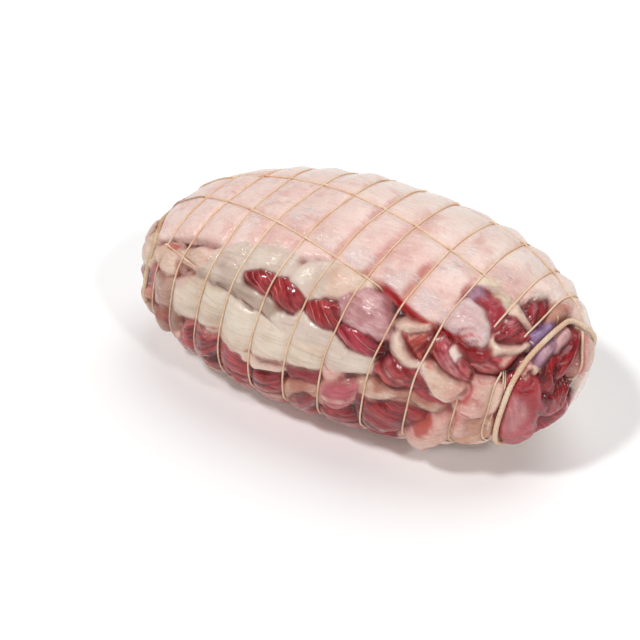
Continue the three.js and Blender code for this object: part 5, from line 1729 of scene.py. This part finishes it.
net_yarn = yarn_material("net_yarn", (248, 226, 198), (238, 200, 166), 2600.0)
cord_yarn = yarn_material("cord_yarn", (244, 224, 198), (230, 196, 164), 1800.0)
far_yarn = yarn_material("far_yarn", (232, 208, 178), (198, 162, 128), 1800.0)
dress(build_meat(), meat_material(), "meat")
dress(build_net(), net_yarn, "net")
open_threads = ties(HOOPS[-1], OPEN_CORD, (0, 1, 2))
open_threads += [thread(places(course), STRAND_RADIUS * 0.85, 0.3, True) for _, course in THREADS]
open_threads.append(thread(RIM_STRAND, RIM_STRAND_RADIUS, 0.4, True))
dress(build_cord("open_end_cord", OPEN_CORD, open_threads), cord_yarn, "cord_open_end")
far_threads = ties(HOOPS[0], FAR_CORD, (2, 3))
dress(build_cord("far_end_cord", FAR_CORD, far_threads), far_yarn, "cord_far_end")

# ---------------------------------------------------------------------------------------------------------
# Floor, light and camera
# ---------------------------------------------------------------------------------------------------------
FLOOR_SIZE = 6.0
floor_mesh = bpy.data.meshes.new("floor")
half = FLOOR_SIZE / 2
corners = [(-half, -half, 0), (half, -half, 0), (half, half, 0), (-half, half, 0)]
floor_mesh.from_pydata(corners, [], [(0, 1, 2, 3)])
floor = bpy.data.objects.new("floor", floor_mesh)
floor_mesh.materials.append(floor_material())
bpy.context.scene.collection.objects.link(floor)

AZIMUTH = np.radians(31.83)
ELEVATION = np.radians(38.0)
BACK = np.array(
    [np.sin(AZIMUTH) * np.cos(ELEVATION), -np.cos(AZIMUTH) * np.cos(ELEVATION), np.sin(ELEVATION)]
)
RIGHT = np.array([np.cos(AZIMUTH), np.sin(AZIMUTH), 0.0])
UP = np.cross(BACK, RIGHT)
AIM_HEIGHT = 0.048
DISTANCE = 0.8
TO_THE_LEFT = 0.0194
DOWN = 0.0106
AIM = np.array([0.0, 0.0, AIM_HEIGHT]) - np.array([CENTRE_X, 0.0, FLOOR]) * MM
EYE = AIM + DISTANCE * BACK - TO_THE_LEFT * RIGHT - DOWN * UP


def facing(position, back, right, up):
    """The matrix of a camera or light at this place, with its back, right and up directions."""
    m = Matrix.Identity(4)
    for row in range(3):
        m[row][0], m[row][1], m[row][2], m[row][3] = right[row], up[row], back[row], position[row]
    return m


camera_data = bpy.data.cameras.new("camera")
camera_data.lens = 102.4
camera_data.sensor_width = 36.0
camera_data.clip_start = 0.01
camera_data.clip_end = 20.0
camera = bpy.data.objects.new("camera", camera_data)
camera.matrix_world = facing(EYE, BACK, RIGHT, UP)
bpy.context.scene.collection.objects.link(camera)
bpy.context.scene.camera = camera


def soft_light(name, toward, spread_angle, power):
    """A distant studio light from this direction, softer the wider its angle in degrees."""
    data = bpy.data.lights.new(name, "SUN")
    data.angle = np.radians(spread_angle)
    data.energy = power
    light = bpy.data.objects.new(name, data)
    back = unit(np.array(toward, float))
    right = unit(np.cross((0.0, 0.0, 1.0), back))
    light.matrix_world = facing(back, back, right, np.cross(back, right))
    bpy.context.scene.collection.objects.link(light)


soft_light("key", (-0.3, -0.5, 0.9), 8.0, 1.4)
soft_light("top", (0.1, 0.45, 1.0), 50.0, 1.15)
soft_light("glint", (0.75, -0.35, 0.75), 7.0, 0.6)
soft_light("fill", (0.3, -0.9, 0.35), 50.0, 0.35)

world = bpy.data.worlds.new("studio")
world.use_nodes = True
world.node_tree.nodes["Background"].inputs["Color"].default_value = (1.0, 1.0, 1.0, 1.0)
world.node_tree.nodes["Background"].inputs["Strength"].default_value = 0.22
bpy.context.scene.world = world
bpy.context.scene.view_settings.view_transform = "Standard"
